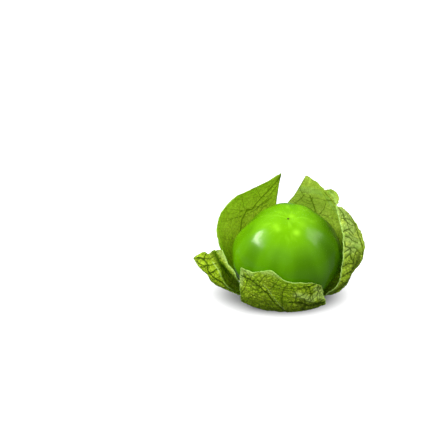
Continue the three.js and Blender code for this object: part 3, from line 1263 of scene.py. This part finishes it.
    def add_traits(
        self,
        mesh: bpy.types.Mesh,
        across: np.ndarray,
        along: np.ndarray,
        points: np.ndarray,
        normals: np.ndarray,
    ) -> None:
        """Writes on each point what the growth tree and the paper read.

        Args:
            mesh: the two-sided mesh.
            across: the grid's shares across.
            along: the grid's shares along.
            points: the grid's points on the middle of the sheet.
            normals: the grid's outward normals.
        """
        step_across = np.linalg.norm(np.diff(points, axis=0), axis=-1)
        step_along = np.linalg.norm(np.diff(points, axis=1), axis=-1)
        from_low = np.pad(np.cumsum(step_across, 0), ((1, 0), (0, 0)))
        from_root = np.pad(np.cumsum(step_along, 1), ((0, 0), (1, 0)))
        gaps = np.stack([from_low, from_low[-1:] - from_low, from_root[:, -1:] - from_root])
        near = eased((self.rim_ends - gaps / MM) / (self.rim_ends - self.rim_full))
        tones = near * np.array(self.rims)[:, None, None]
        rim = gaps.min(0)
        numbers = {
            "ease": self.ease(along),
            "bulge": self.bulging(across, along),
            "rim": rim,
            "rim_tone": np.take_along_axis(tones, gaps.argmin(0)[None], 0)[0],
        }
        for name, values in numbers.items():
            trait = mesh.attributes.new(name, "FLOAT", "POINT")
            trait.data.foreach_set("value", np.tile(values.reshape(-1), 2).astype(np.float32))
        sides = np.repeat([1.0, -1.0], rim.size).astype(np.float32)
        mesh.attributes.new("side", "FLOAT", "POINT").data.foreach_set("value", sides)
        for name, vectors in {"sheet": points, "outward": normals}.items():
            trait = mesh.attributes.new(name, "FLOAT_VECTOR", "POINT")
            trait.data.foreach_set("vector", np.tile(vectors.reshape(-1), 2).astype(np.float32))

    def add_bake_map(self, mesh: bpy.types.Mesh, runs: list[int]) -> None:
        """Lays the two faces of the leaf side by side, with its four rims as strips above them.

        Args:
            mesh: the two-sided mesh.
            runs: how many faces the outer side, the inner side and each rim have.
        """
        across_steps, along_steps = self.steps
        count = (across_steps + 1) * (along_steps + 1)
        corners = np.zeros(len(mesh.loops), int)
        mesh.loops.foreach_get("vertex_index", corners)
        corners = corners.reshape(-1, 4)
        spot = corners % count
        column = (spot // (along_steps + 1)) / across_steps
        row = (spot % (along_steps + 1)) / along_steps
        margin, face_width, face_height, second_face = 0.01, 0.47, 0.92, 0.51
        first_strip, strip_pitch, strip_height = 0.945, 0.013, 0.009
        places = np.stack([margin + face_width * column, margin + face_height * row], -1)
        ends = np.cumsum(runs)
        places[ends[0] : ends[1], :, 0] += second_face
        for rim in range(4):
            run = slice(ends[rim + 1], ends[rim + 2])
            far = row[run] if rim < 2 else column[run]
            up = first_strip + strip_pitch * rim + strip_height * (corners[run] >= count)
            places[run] = np.stack([margin + (1 - 2 * margin) * far, up], -1)
        layer = mesh.uv_layers.new(name="OFBake")
        layer.data.foreach_set("uv", places.reshape(-1).astype(np.float32))

    def strokes(self) -> dict[Line, list[np.ndarray]]:
        """Gathers every line of the sepal: its midrib, its side veins and its own marks.

        Returns:
            The lines of each kind, in shares across and along.
        """
        rng = np.random.default_rng(self.seed)
        midrib = np.array(self.midrib)
        strokes = {line: [np.array(spots) for spots in self.marks.get(line, ())] for line in Line}
        strokes[Line.RIB].append(midrib)
        steps, first, last = self.vein_starts
        starts = smooth_line(midrib, steps)[first:last]
        for start in starts[:: (last - first) // self.side_veins]:
            for far in (0.0, 1.0):
                reach = rng.uniform(*self.vein_reach)
                rise = self.vein_rise * rng.uniform(*self.vein_slope)
                end = start + np.array([(far - start[0]) * reach, rise])
                sag = rng.normal(0, self.vein_drift) - self.vein_sag * rise
                bend = (start + end) / 2 + np.array([0.0, sag])
                strokes[Line.TWIG].append(np.clip([start, bend, end], 0.0, 0.99))
        return strokes

    def line_object(self, line: Line, strokes: list[np.ndarray]) -> bpy.types.Object:
        """Draws every line of one kind on the sheet.

        Args:
            line: the kind.
            strokes: the lines, in shares across and along.

        Returns:
            A helper object with the lines as edges.
        """
        sheet = Sheet(self.cage())
        points, edges = [], []
        for spots in strokes:
            sharp = line in (Line.FOLD, Line.RIDGE)
            path = straight_line(spots, STRETCH_STEPS) if sharp else smooth_line(spots, CURVE_POINTS)
            start = len(points)
            points.extend(sheet.read(path[:, 0], path[:, 1])[0].tolist())
            edges.extend((start + k, start + k + 1) for k in range(len(path) - 1))
        if not points:
            # A stand-in far below, for a kind of line that this sepal doesn't have.
            points, edges = [(0, 0, -1), (0, 0.01, -1)], [(0, 1)]
        mesh = bpy.data.meshes.new(f"{self.name}_{line.value}")
        mesh.from_pydata(points, edges, [])
        return new_object(mesh.name, mesh)

    def build(self, growth: GrowthPlan, paper: bpy.types.Material, thickness: float) -> None:
        """Grows the sepal and puts it in its place.

        Args:
            growth: the tree that all sepals share.
            paper: the husk's material.
            thickness: the leaf's thickness in metres.
        """
        piece = new_object(f"{self.name}_leaf", self.sheet_mesh())
        lines = {line.value: self.line_object(line, spots) for line, spots in self.strokes().items()}
        sizes = {
            "Net size": self.net_size,
            "Net depth": self.net_depth,
            "Panel size": self.panel_size,
            "Panel depth": self.panel_depth,
            "Crumple": self.crumple,
            "Rib width": self.rib_width,
            "Rib height": self.rib_height,
            "Fold width": self.fold_width,
            "Fold depth": self.fold_depth,
            "Shade width": self.shade_width,
            "Blush width": self.dry_and_lit_width,
        }
        inputs = {
            **{name: size * MM for name, size in sizes.items()},
            "Thickness": thickness,
            "Seed": float(self.seed),
            "Dryness": self.dryness,
            "Paper": paper,
            **lines,
        }
        growth.grow(piece, inputs)
        for helper in lines.values():
            bpy.data.objects.remove(helper)
        settle(piece, self.name)


def front_sepal() -> Sepal:
    """Describes the low lobe in front of the berry, torn short and crumpled on its right.

    Returns:
        The sepal, with its points in millimetres.
    """
    return Sepal(
        name="husk_lobe_front",
        sector=(226, 304),
        foot_sector=(225, 305),
        foot_radius=9.8,
        rows=[
            [
                (-15.5, -9, 1), (-9.8, -11.7, 0.3), (-4, -12.8, 0.25),
                (2, -13.2, 0.25), (8, -12.5, 0.4), (13, -12.4, 2.2),
            ],
            [
                (-21.4, -12.8, 5), (-15, -16.5, 4), (-6.5, -19, 3.8),
                (2, -19.8, 3.5), (10.4, -18.4, 3.6), (18, -17.4, 6),
            ],
            [
                (-22.2, -14, 12), (-17, -20.2, 13), (-9, -24.2, 14),
                (0, -25, 12), (9, -23.5, 10.5), (16.3, -18.8, 10.8),
            ],
            [
                (-21.5, -16, 24.2), (-16.5, -21.3, 24.8), (-8.6, -25.6, 27.2),
                (-1.2, -26.8, 22.2), (8.5, -25, 20.7), (15.2, -20.7, 17.3),
            ],
        ],
        midrib=(
            (0.53, 0.4), (0.54, 0.61), (0.5, 0.71), (0.45, 0.77), (0.41, 0.83), (0.37, 0.86),
            (0.31, 0.89), (0.24, 0.92), (0.16, 0.94), (0.02, 0.94),
        ),
        marks={
            Line.TWIG: (
                ((0.5, 0.66), (0.53, 0.81), (0.54, 0.86), (0.56, 0.92), (0.61, 0.98)),
                ((0.31, 0.89), (0.31, 0.93), (0.37, 0.97)),
                ((0.37, 0.86), (0.44, 0.9), (0.51, 0.98)),
                ((0.16, 0.94), (0.12, 0.87), (0.05, 0.8)),
                ((0.37, 0.86), (0.28, 0.84), (0.16, 0.77)),
                ((0.75, 0.9), (0.8, 0.96), (0.88, 1.0)),
                ((0.85, 0.84), (0.86, 0.91), (0.95, 0.97)),
                ((0.64, 0.97), (0.68, 0.9), (0.66, 0.83), (0.6, 0.76)),
                ((0.8, 0.97), (0.83, 0.9), (0.8, 0.8)),
            ),
            Line.FOLD: (
                ((0.6, 0.8), (0.7, 0.8), (0.78, 0.76), (0.88, 0.74), (1.0, 0.68)),
            ),
            Line.RIDGE: (
                ((0.66, 0.93), (0.73, 0.88), (0.8, 0.86), (0.86, 0.82), (0.92, 0.84), (0.99, 0.78)),
            ),
            # Painted highlight on the lit side of the midrib.
            Line.PALE: (
                ((0.53, 0.7), (0.485, 0.77), (0.445, 0.83), (0.4, 0.87), (0.34, 0.905)),
            ),
            # Painted shade under the crest.
            Line.SHADE: (
                ((0.7, 0.8), (0.78, 0.76), (0.88, 0.73), (0.98, 0.66)),
                ((0.72, 0.72), (0.82, 0.68), (0.92, 0.62)),
            ),
            # Painted light on the lit top-left corner and the crest, and pale dry patches along the torn
            # top edge.
            Line.BLUSH: (
                ((0.0, 0.99), (0.04, 0.95), (0.03, 0.88)),
                ((0.02, 0.99), (0.14, 0.985), (0.2, 0.98)),
                ((0.32, 0.99), (0.41, 0.99), (0.5, 1.0)),
                ((0.68, 0.9), (0.76, 0.88), (0.83, 0.85), (0.91, 0.88), (0.97, 0.8)),
                ((0.9, 0.95), (0.97, 0.92), (0.98, 0.84)),
            ),
        },
        bulge=0.22,
        bulges=((0.85, 0.88, 0.14, 0.45),),
        panel_size=5.0,
        fold_depth=0.9,
        rims=(0.7, 0.5, 1.0),
        dry_and_lit_width=1.8,
        seed=2,
    )


def front_left_sepal() -> Sepal:
    """Describes the lobe that lies out to the left, folded into a deep channel.

    Returns:
        The sepal, with its points in millimetres.
    """
    return Sepal(
        name="husk_lobe_front_left",
        sector=(159, 217),
        foot_sector=(161, 217),
        foot_radius=10,
        rows=[
            [
                (-16.5, 2, 5), (-17.4, 0.8, 4.6), (-18.2, -0.6, 4.1), (-18.5, -2.2, 3.7),
                (-18.4, -3.8, 3.3), (-17.8, -5.3, 2.9), (-16.6, -6.8, 2.6),
            ],
            [
                (-20, -6.5, 8.8), (-20.9, -5.7, 7.8), (-21.8, -5.5, 6.6), (-22.5, -6.9, 6.4),
                (-22.8, -8.4, 6.7), (-22.8, -10, 7), (-22.3, -11.5, 7.2),
            ],
            [
                (-22.8, -12, 15.9), (-23.5, -11, 14.9), (-24.8, -7, 10.4), (-26.9, -14, 12.6),
                (-27.6, -14.5, 13.1), (-28.5, -14.8, 12.5), (-29.6, -13, 11.5),
            ],
            [
                (-24.3, -11, 19.4), (-25.8, -10, 18.2), (-27.1, -4, 13), (-29.4, -13, 15.9),
                (-30.3, -14, 17.2), (-32.4, -14.5, 16.2), (-34.3, -13, 14.5),
            ],
            [
                (-26.9, -8, 21.1), (-29, -6.5, 20.4), (-29.6, 0, 15.7), (-30.5, -10.5, 20),
                (-32.8, -12, 20.4), (-35.2, -12.2, 19.4), (-37.4, -11, 18),
            ],
            [
                (-27.9, -5, 23.1), (-31.5, -3.5, 21.6), (-32, 3, 17.5), (-32.3, -6, 22.6),
                (-35.1, -8, 22.1), (-37.9, -9, 22.6), (-41.1, -9, 20.6),
            ],
            [
                (-29.7, -2, 26.2), (-32.6, -1, 25), (-33.6, 4, 22.4), (-34.4, -3, 25.6),
                (-35.9, -4, 24.8), (-38.6, -4.5, 25.9), (-43.7, -5, 22.7),
            ],
        ],
        midrib=(
            (0.7, 0.3), (0.72, 0.5), (0.7, 0.58), (0.8, 0.68), (0.85, 0.74), (0.88, 0.79),
            (0.79, 0.85), (0.82, 0.91), (0.93, 0.97),
        ),
        marks={
            Line.TWIG: (
                ((0.82, 0.91), (0.8, 0.96), (0.73, 1.0)),
                ((0.78, 0.85), (0.89, 0.85), (0.96, 0.87)),
                ((0.88, 0.79), (0.77, 0.76), (0.61, 0.79)),
            ),
            Line.FOLD: (
                ((0.42, 1.0), (0.37, 0.92), (0.35, 0.84), (0.34, 0.76)),
            ),
            # Painted highlight along the lit ridge.
            Line.PALE: (
                ((0.62, 0.88), (0.6, 0.78), (0.57, 0.68), (0.54, 0.57), (0.58, 0.46), (0.75, 0.42)),
            ),
            # Painted shade in the channel and beside the ridge.
            Line.SHADE: (
                ((0.36, 0.9), (0.36, 0.8), (0.37, 0.7), (0.36, 0.6), (0.34, 0.5), (0.3, 0.42)),
                ((0.26, 0.78), (0.23, 0.7), (0.2, 0.6), (0.17, 0.5)),
                ((0.5, 0.98), (0.49, 0.86), (0.48, 0.74), (0.45, 0.64), (0.44, 0.46)),
            ),
            # Painted light on the lit inner wall by the right rim.
            Line.BLUSH: (
                ((0.12, 0.99), (0.06, 0.93), (0.03, 0.86), (0.0, 0.76), (0.0, 0.64)),
            ),
        },
        side_veins=4,
        vein_rise=0.06,
        tear=0.6,
        bulge=0.1,
        bulges=((0.85, 0.85, 0.2, 0.35),),
        crumple=0.25,
        panel_depth=0.6,
        rims=(1.0, 0.3, 0.3),
        shade_width=2.1,
        dry_and_lit_width=1.2,
        seed=5,
    )


def back_left_sepal() -> Sepal:
    """Describes the tall lobe behind the berry on the left, with its inner face showing.

    Returns:
        The sepal, with its points in millimetres.
    """
    return Sepal(
        name="husk_lobe_back_left",
        sector=(94, 149),
        foot_sector=(93, 147),
        foot_radius=7.6,
        rows=[
            [(-1, 21, 7), (-8, 20, 6.5), (-14, 17, 6), (-18.5, 11, 5.6), (-21.8, 3.4, 6.6)],
            [(-2, 27, 18), (-11, 25.5, 17), (-20, 20.5, 16), (-26, 10.5, 16), (-27.4, -1.5, 17)],
            [(-3.6, 29, 32.2), (-13, 27, 32.2), (-22, 23, 31.2), (-29.3, 13.5, 30.2), (-32.2, 3, 30.7)],
            [(-3, 26.5, 43.3), (-11, 25, 43.3), (-19, 21, 42.8), (-26, 15.5, 41.8), (-30.5, 9, 38.9)],
            [(-1.8, 24, 53.2), (-5, 23.5, 51.3), (-9, 23, 49), (-16, 20, 46.4), (-23, 14, 46)],
        ],
        midrib=(
            (0.5, 0.15), (0.5, 0.4), (0.5, 0.6), (0.46, 0.68), (0.43, 0.7), (0.39, 0.73), (0.32, 0.73),
            (0.29, 0.75), (0.22, 0.8), (0.16, 0.85), (0.07, 0.94), (0.02, 0.99),
        ),
        marks={
            Line.TWIG: (
                ((0.32, 0.73), (0.42, 0.75), (0.47, 0.8), (0.55, 0.86)),
                ((0.22, 0.8), (0.31, 0.86), (0.47, 0.93)),
                ((0.39, 0.73), (0.53, 0.76), (0.78, 0.82)),
                ((0.43, 0.7), (0.58, 0.72), (0.81, 0.77)),
                ((0.16, 0.85), (0.17, 0.9)),
                ((0.29, 0.75), (0.2, 0.73), (0.12, 0.75)),
            ),
            Line.SHADE: (
                ((0.0, 0.99), (0.04, 0.96)),
            ),
        },
        side_veins=4,
        vein_rise=0.08,
        tear=0.3,
        bulge=0.12,
        crumple=0.3,
        dryness=0.3,
        rims=(-0.8, 0.55, 0.1),
        shade_width=1.4,
        seed=7,
    )


def back_right_sepal() -> Sepal:
    """Describes the tall lobe behind the berry on the right, with a small curled ear.

    Returns:
        The sepal, with its points in millimetres.
    """
    return Sepal(
        name="husk_lobe_back_right",
        sector=(27, 86),
        foot_sector=(24, 87),
        foot_radius=7.8,
        rows=[
            [
                (21.6, 5.8, 7), (18.2, 12.6, 6.2), (13.5, 17, 6.2),
                (9.5, 19.3, 6.5), (5, 20.8, 6.8), (0.6, 21, 7.2),
            ],
            [
                (27.4, -1, 17), (25.9, 9.5, 16.5), (19.5, 19, 17),
                (14, 23, 17.5), (8, 25.8, 18), (0.8, 27, 19),
            ],
            [
                (28.8, 0, 31), (27.6, 10.5, 31), (21, 20.5, 31.5),
                (15, 25, 32.2), (8, 27.5, 32.2), (-0.2, 28.5, 32.2),
            ],
            [
                (23.1, 5, 42.8), (22.4, 11.8, 42.9), (19, 17, 43.2),
                (15, 21.3, 43.3), (10.5, 24.2, 42.3), (4.8, 26.3, 41.4),
            ],
            [
                (24.7, 5.2, 49.2), (20.9, 9.3, 51.2), (18, 14, 48.8),
                (15.1, 19, 50.4), (12.5, 22, 51), (9.8, 24, 52.2),
            ],
        ],
        midrib=((0.55, 0.15), (0.56, 0.4), (0.58, 0.6), (0.61, 0.73), (0.66, 0.78), (0.73, 0.84)),
        marks={
            Line.TWIG: (
                ((0.84, 0.85), (0.86, 0.81), (0.9, 0.77)),
                ((0.47, 0.84), (0.42, 0.82), (0.47, 0.76), (0.54, 0.71)),
                ((0.44, 0.9), (0.39, 0.85), (0.26, 0.87)),
                ((0.73, 0.84), (0.82, 0.87), (0.9, 0.87)),
            ),
            Line.FOLD: (
                ((0.4, 0.98), (0.32, 0.91), (0.2, 0.88), (0.03, 0.9)),
            ),
            Line.RIDGE: (
                ((0.34, 0.99), (0.24, 0.945), (0.1, 0.93), (0.0, 0.92)),
            ),
            # Pale dry patches on the ear and across the top, and painted light down the side where the
            # berry shades it.
            Line.BLUSH: (
                ((0.27, 0.96), (0.15, 0.94), (0.05, 0.9)),
                ((0.92, 0.89), (0.76, 0.89), (0.54, 0.88)),
                ((0.36, 0.86), (0.24, 0.78), (0.14, 0.68), (0.08, 0.58)),
            ),
        },
        side_veins=4,
        vein_rise=0.08,
        corners=(3.0, 0.6),
        tear=0.3,
        bulge=0.2,
        crumple=0.4,
        fold_width=1.1,
        dryness=0.95,
        rims=(-0.4, -0.8, -0.7),
        dry_and_lit_width=2.4,
        seed=11,
    )


def right_sepal() -> Sepal:
    """Describes the lobe on the right, standing with its crumpled outer face to the front.

    Returns:
        The sepal, with its points in millimetres.
    """
    return Sepal(
        name="husk_lobe_right",
        sector=(313, 378),
        foot_sector=(312, 377),
        foot_radius=9.8,
        rows=[
            [(14.5, -10.5, 5.6), (19, -7.5, 5.4), (21.5, -2.5, 5.2), (22, 3, 5.3), (21, 8, 5.6)],
            [(18.8, -15.8, 10.8), (24, -12.2, 9.6), (27.6, -7, 10.4), (28, 1, 10.4), (26.5, 8.4, 11)],
            [(22.8, -15.2, 14.8), (27, -11.5, 14.6), (30, -6, 15.2), (31.2, 2, 15.5), (28.8, 10.8, 16)],
            [(24.2, -13, 20.3), (29.5, -9.5, 20.3), (34.5, -3, 20.8), (34, 5, 20.8), (30.3, 13, 21)],
            [(25, -10, 29.2), (31, -7, 28.4), (35.8, 0, 27.7), (34.6, 8, 27.8), (30.3, 14.5, 27.6)],
            [(24.8, -6, 36), (29.5, -4, 36), (32.8, 1.5, 35.2), (31.8, 8, 33.8), (28.8, 13.5, 32.5)],
            [(23.4, -1.5, 40.9), (27.3, 0.3, 41.2), (29.6, 4, 39.6), (28.8, 8.5, 38), (26.6, 13, 36.4)],
            [(22, 1.4, 46.2), (23.8, 3, 45.5), (25.4, 6.2, 43.6), (25.8, 9, 41.6), (24.6, 12.3, 39.6)],
        ],
        midrib=(
            (0.5, 0.15), (0.5, 0.4), (0.47, 0.57), (0.45, 0.64), (0.38, 0.74), (0.4, 0.84), (0.45, 0.95),
        ),
        marks={
            Line.TWIG: (
                ((0.11, 0.99), (0.17, 0.94), (0.12, 0.88)),
                ((0.06, 0.9), (0.29, 0.88), (0.41, 0.83)),
            ),
            Line.FOLD: (
                ((0.03, 0.69), (0.15, 0.71), (0.24, 0.71), (0.31, 0.69), (0.42, 0.65)),
                ((0.03, 0.81), (0.12, 0.82), (0.2, 0.82), (0.27, 0.78)),
                ((0.06, 0.78), (0.15, 0.77), (0.2, 0.75), (0.32, 0.73)),
                ((0.06, 0.66), (0.14, 0.68), (0.21, 0.65), (0.28, 0.62), (0.31, 0.55)),
                ((0.04, 0.62), (0.14, 0.63), (0.27, 0.62)),
                ((0.09, 0.55), (0.16, 0.56), (0.27, 0.56), (0.35, 0.58)),
                ((0.15, 0.71), (0.17, 0.68), (0.14, 0.68)),
                ((0.03, 0.75), (0.05, 0.72), (0.15, 0.71)),
                ((0.31, 0.69), (0.25, 0.66), (0.28, 0.62)),
            ),
            # Painted shade low on the wall and beside a fold.
            Line.SHADE: (
                ((0.14, 0.44), (0.27, 0.47), (0.42, 0.49)),
                ((0.06, 0.38), (0.15, 0.44)),
                ((0.35, 0.64), (0.35, 0.6), (0.32, 0.57)),
            ),
            # Pale dry patches and painted light high on the wall.
            Line.BLUSH: (
                ((0.1, 0.97), (0.2, 0.93), (0.28, 0.87), (0.27, 0.81), (0.12, 0.83)),
                ((0.1, 0.77), (0.21, 0.75), (0.31, 0.72), (0.12, 0.7)),
            ),
        },
        side_veins=5,
        vein_rise=0.07,
        bulge=0.3,
        bulges=((0.75, 0.7, 0.25, 0.5),),
        panel_size=5.5,
        panel_depth=0.8,
        fold_width=1.4,
        fold_depth=0.75,
        dryness=1.0,
        rims=(1.0, 0.2, 0.2),
        dry_and_lit_width=3.0,
        seed=13,
    )


@dataclass
class Husk:
    """The husk, torn along its seams into five sepals that share one paper."""

    thickness: float = 0.3 * MM
    growth: LeafGrowth = field(default_factory=LeafGrowth)
    paper: HuskPaper = field(default_factory=HuskPaper)
    sepals: list[Sepal] = field(
        default_factory=lambda: [
            front_sepal(),
            front_left_sepal(),
            back_left_sepal(),
            back_right_sepal(),
            right_sepal(),
        ]
    )

    def build(self) -> None:
        """Grows every sepal."""
        growth = self.growth.plan()
        paper = self.paper.material()
        for sepal in self.sepals:
            sepal.build(growth, paper, self.thickness)


# ---------------------------------------------------------------------------------------------
# Stalk


@dataclass(frozen=True)
class StalkBark:
    """The stalk's finish: olive, streaked along its length, browner at the cut."""

    green: Colour = linear(128, 146, 58)
    streak: Colour = linear(92, 100, 40)
    cut: Colour = linear(176, 164, 104)
    stretch: float = 4.0
    streak_size: float = 0.5 * MM
    streak_span: Span = (0.4, 0.62)
    streak_depth: float = 0.08 * MM
    streak_strength: float = 0.5
    roughness: float = 0.62
    roughness_drift: float = 0.2

    def material(self) -> bpy.types.Material:
        """Makes the bark, streaked along the stalk.

        Returns:
            The material.
        """
        plan = MaterialPlan("stalk_bark")
        x, y, z = plan.parts(plan.place)
        streaks = plan.noise(plan.joined(x, y, z / self.stretch), self.streak_size, FINE_DETAIL)
        colour = plan.mixed(streaks.rise(*self.streak_span), self.green, self.streak)
        colour = plan.mixed(plan.grown("cut"), colour, self.cut)
        feeds = {
            "Base Color": colour,
            "Roughness": self.roughness + streaks * self.roughness_drift,
            "Normal": plan.bump(streaks, self.streak_depth, self.streak_strength),
        }
        return plan.finish(feeds)


@dataclass
class Stalk:
    """The cut stalk under the berry: a ribbed stem that flares into the berry's dimple."""

    lean: float = BERRY_LEAN
    centre_height: float = BERRY_CENTRE_HEIGHT
    top: float = STALK_DIMPLE_DEPTH - BERRY_HALF_HEIGHT - STALK_GAP
    length: float = 3.6 * MM
    radius: float = 1.15 * MM
    flare: float = 1.85 * MM
    ridges: int = 5
    ridge_height: float = 0.05
    end_swell: Span = (0.03 * MM, 0.02 * MM)
    round_steps: int = 60
    bark: StalkBark = field(default_factory=StalkBark)

    def outline(self) -> list[tuple[float, float, float]]:
        """Gives the stalk's outline.

        Returns:
            Radius, height and cut share of each ring, from the cut end up.
        """
        return [
            (0.3 * self.radius, -self.length + 0.12 * MM, 1.0),
            (0.75 * self.radius, -self.length + 0.04 * MM, 1.0),
            (0.97 * self.radius, -self.length + 0.05 * MM, 0.8),
            (self.radius, -self.length + 0.25 * MM, 0.1),
            (0.95 * self.radius, -0.7 * self.length, 0.0),
            (self.radius, -0.45 * self.length, 0.0),
            (0.82 * self.flare, -0.28 * self.length, 0.0),
            (self.flare, -0.16 * self.length, 0.0),
            (0.96 * self.flare, -0.07 * self.length, 0.0),
            (0.6 * self.flare, -0.02 * self.length, 0.0),
        ]

    def build(self) -> None:
        """Makes the stalk ring by ring and puts it in its place."""
        steps = self.round_steps
        turns = np.linspace(0, 2 * math.pi, steps, endpoint=False)
        rings = self.outline()
        points, cuts = [], []
        for radius, height, cut in rings:
            ribbed = radius * (1 + self.ridge_height * np.cos(self.ridges * turns) * (1 - cut))
            points += [(r * math.cos(a), r * math.sin(a), height) for r, a in zip(ribbed, turns)]
            cuts += [cut] * steps
        around = [(i, (i + 1) % steps) for i in range(steps)]
        faces = [
            (low + i, low + after, low + steps + after, low + steps + i)
            for low in range(0, (len(rings) - 1) * steps, steps)
            for i, after in around
        ]
        points += [(0, 0, rings[end][1] + self.end_swell[end]) for end in (0, -1)]
        cuts += [1.0, 0.0]
        low, high, last = len(points) - 2, len(points) - 1, (len(rings) - 1) * steps
        faces += [(low, (i + 1) % steps, i) for i in range(steps)]
        faces += [(high, last + i, last + (i + 1) % steps) for i in range(steps)]
        tilt, up = math.sin(self.lean), math.cos(self.lean)
        placed = [
            (x, y * up - (z + self.top) * tilt, y * tilt + (z + self.top) * up + self.centre_height)
            for x, y, z in points
        ]
        mesh = bpy.data.meshes.new("stalk")
        mesh.from_pydata(placed, [], faces)
        mesh.attributes.new("cut", "FLOAT", "POINT").data.foreach_set("value", cuts)
        mesh.shade_smooth()
        mesh.materials.append(self.bark.material())
        settle(new_object("stem_stub_bark", mesh), "stem_stub")


# ---------------------------------------------------------------------------------------------
# Studio


@dataclass(frozen=True)
class Softbox:
    """A rectangular lamp that faces the berry, and that a glossy skin mirrors or doesn't."""

    name: str
    turn: float
    rise: float
    away: float
    width: float
    height: float
    power: float
    roll: float
    mirrored: bool = True

    def build(self, aim: Point) -> None:
        """Hangs the lamp at its angles, in degrees.

        Args:
            aim: the point that it lights.
        """
        turn, rise = math.radians(self.turn), math.radians(self.rise)
        light = bpy.data.lights.new(self.name, "AREA")
        light.shape = "RECTANGLE"
        light.size = self.width
        light.size_y = self.height
        light.energy = self.power
        lamp = bpy.data.objects.new(self.name, light)
        lamp.location = (
            aim[0] + self.away * math.cos(rise) * math.cos(turn),
            aim[1] + self.away * math.cos(rise) * math.sin(turn),
            aim[2] + self.away * math.sin(rise),
        )
        facing = Euler((math.pi / 2 - rise, 0.0, turn + math.pi / 2)).to_matrix()
        lamp.rotation_euler = (facing @ Matrix.Rotation(math.radians(self.roll), 3, "Z")).to_euler()
        lamp.visible_glossy = self.mirrored
        bpy.context.scene.collection.objects.link(lamp)


@dataclass
class Studio:
    """A floor that is white but for a painted shadow round the berry's foot, a white room, six soft
    lamps round the berry, and the camera.
    """

    camera_at: Point = (-30.79 * MM, -506.51 * MM, 275.99 * MM)
    camera_dip: float = math.radians(25)
    lens: float = 100.0
    sensor: float = 36.0
    room_light: float = 0.25
    room_gloss: float = 0.05
    lamp_aim: Point = (0.0, 0.0, 23 * MM)
    floor_half_width: float = 3.0
    floor_height: float = -0.05 * MM
    # Painted shadow: the camera sees the floor dark grey, until a white glow rising away from the
    # berry's foot makes it white.
    shadowed_floor_seen: Colour = (0.3, 0.3, 0.305, 1.0)
    floor_bounce: Colour = (0.15, 0.15, 0.15, 1.0)
    foot_at: tuple[float, float] = (-3 * MM, 3 * MM)
    foot_squash: float = 1.5
    white_from: float = 19 * MM
    white_past: float = 40 * MM
    lamps: tuple[Softbox, ...] = (
        Softbox("left_strip", 174, 41, 0.6, 0.085, 0.28, 2.4, 54),
        Softbox("right_box", 4, 46, 0.6, 0.26, 0.25, 0.8, 0),
        Softbox("front_sheet", -106, 38, 0.9, 0.9, 0.6, 5.6, 0, False),
        Softbox("left_sheet", 170, 40, 0.9, 0.7, 0.7, 1.3, 0, False),
        Softbox("right_sheet", -28, 32, 0.9, 0.7, 0.6, 2.8, 0, False),
        Softbox("back_sheet", 88, 42, 0.9, 0.9, 0.6, 3.8, 0, False),
    )

    def build_floor(self) -> None:
        """Lays a floor that keeps the shadow of what stands on it. To the camera it is dark grey round
        the berry's foot, a painted shadow on top of the real one, and glows white further out.
        """
        half, low = self.floor_half_width, self.floor_height
        mesh = bpy.data.meshes.new("floor")
        corners = [(-half, -half, low), (half, -half, low), (half, half, low), (-half, half, low)]
        mesh.from_pydata(corners, [], [(0, 1, 2, 3)])
        plan = MaterialPlan("floor_white")
        rays = plan.node("ShaderNodeLightPath")
        seen = plan.number(rays.outputs["Is Camera Ray"])
        x, y, _ = plan.parts(plan.place)
        # Painted shadow: the white glow rises outwards from a ring round the foot, leaving the floor
        # near the foot dark grey.
        aside, back = x - self.foot_at[0], (y - self.foot_at[1]) * self.foot_squash
        away = ((aside * aside + back * back) ** 0.5).rise(self.white_from, self.white_past)
        feeds = {
            "Base Color": plan.mixed(seen, self.floor_bounce, self.shadowed_floor_seen),
            "Roughness": 1.0,
            "Specular IOR Level": 0.0,
            "Emission Color": WHITE,
            "Emission Strength": seen * away,
        }
        mesh.materials.append(plan.finish(feeds))
        new_object("floor", mesh)

    def build_room(self) -> None:
        """Makes the room white to the camera and plainly lit for everything else."""
        world = bpy.data.worlds.new("room")
        world.use_nodes = True
        world.node_tree.nodes.clear()
        plan = Plan(world.node_tree)
        rays = plan.node("ShaderNodeLightPath")
        seen = plan.number(rays.outputs["Is Camera Ray"])
        mirrored = plan.number(rays.outputs["Is Glossy Ray"])
        unseen = self.room_light + mirrored * (self.room_gloss - self.room_light)
        strength = seen * (1 - unseen) + unseen
        feeds = {"Color": WHITE, "Strength": strength}
        light = plan.node("ShaderNodeBackground", {}, feeds)
        plan.node("ShaderNodeOutputWorld", {}, {"Surface": light.outputs[0]})
        bpy.context.scene.world = world

    def build_camera(self) -> None:
        """Sets up the camera."""
        camera = bpy.data.cameras.new("camera")
        camera.lens = self.lens
        camera.sensor_width = self.sensor
        holder = bpy.data.objects.new("camera", camera)
        holder.location = self.camera_at
        holder.rotation_euler = (math.pi / 2 - self.camera_dip, 0.0, 0.0)
        bpy.context.scene.collection.objects.link(holder)
        bpy.context.scene.camera = holder

    def build(self) -> None:
        """Sets up the camera, the floor, the room and the lamps."""
        self.build_camera()
        self.build_floor()
        self.build_room()
        for lamp in self.lamps:
            lamp.build(self.lamp_aim)
        bpy.context.scene.view_settings.view_transform = "Standard"


def main() -> None:
    """Builds the studio, the berry, the husk and the stalk, in that order."""
    logging.basicConfig(level=logging.INFO, format="%(name)s: %(message)s")
    Studio().build()
    Berry().build()
    Husk().build()
    Stalk().build()


if __name__ == "__main__":
    main()
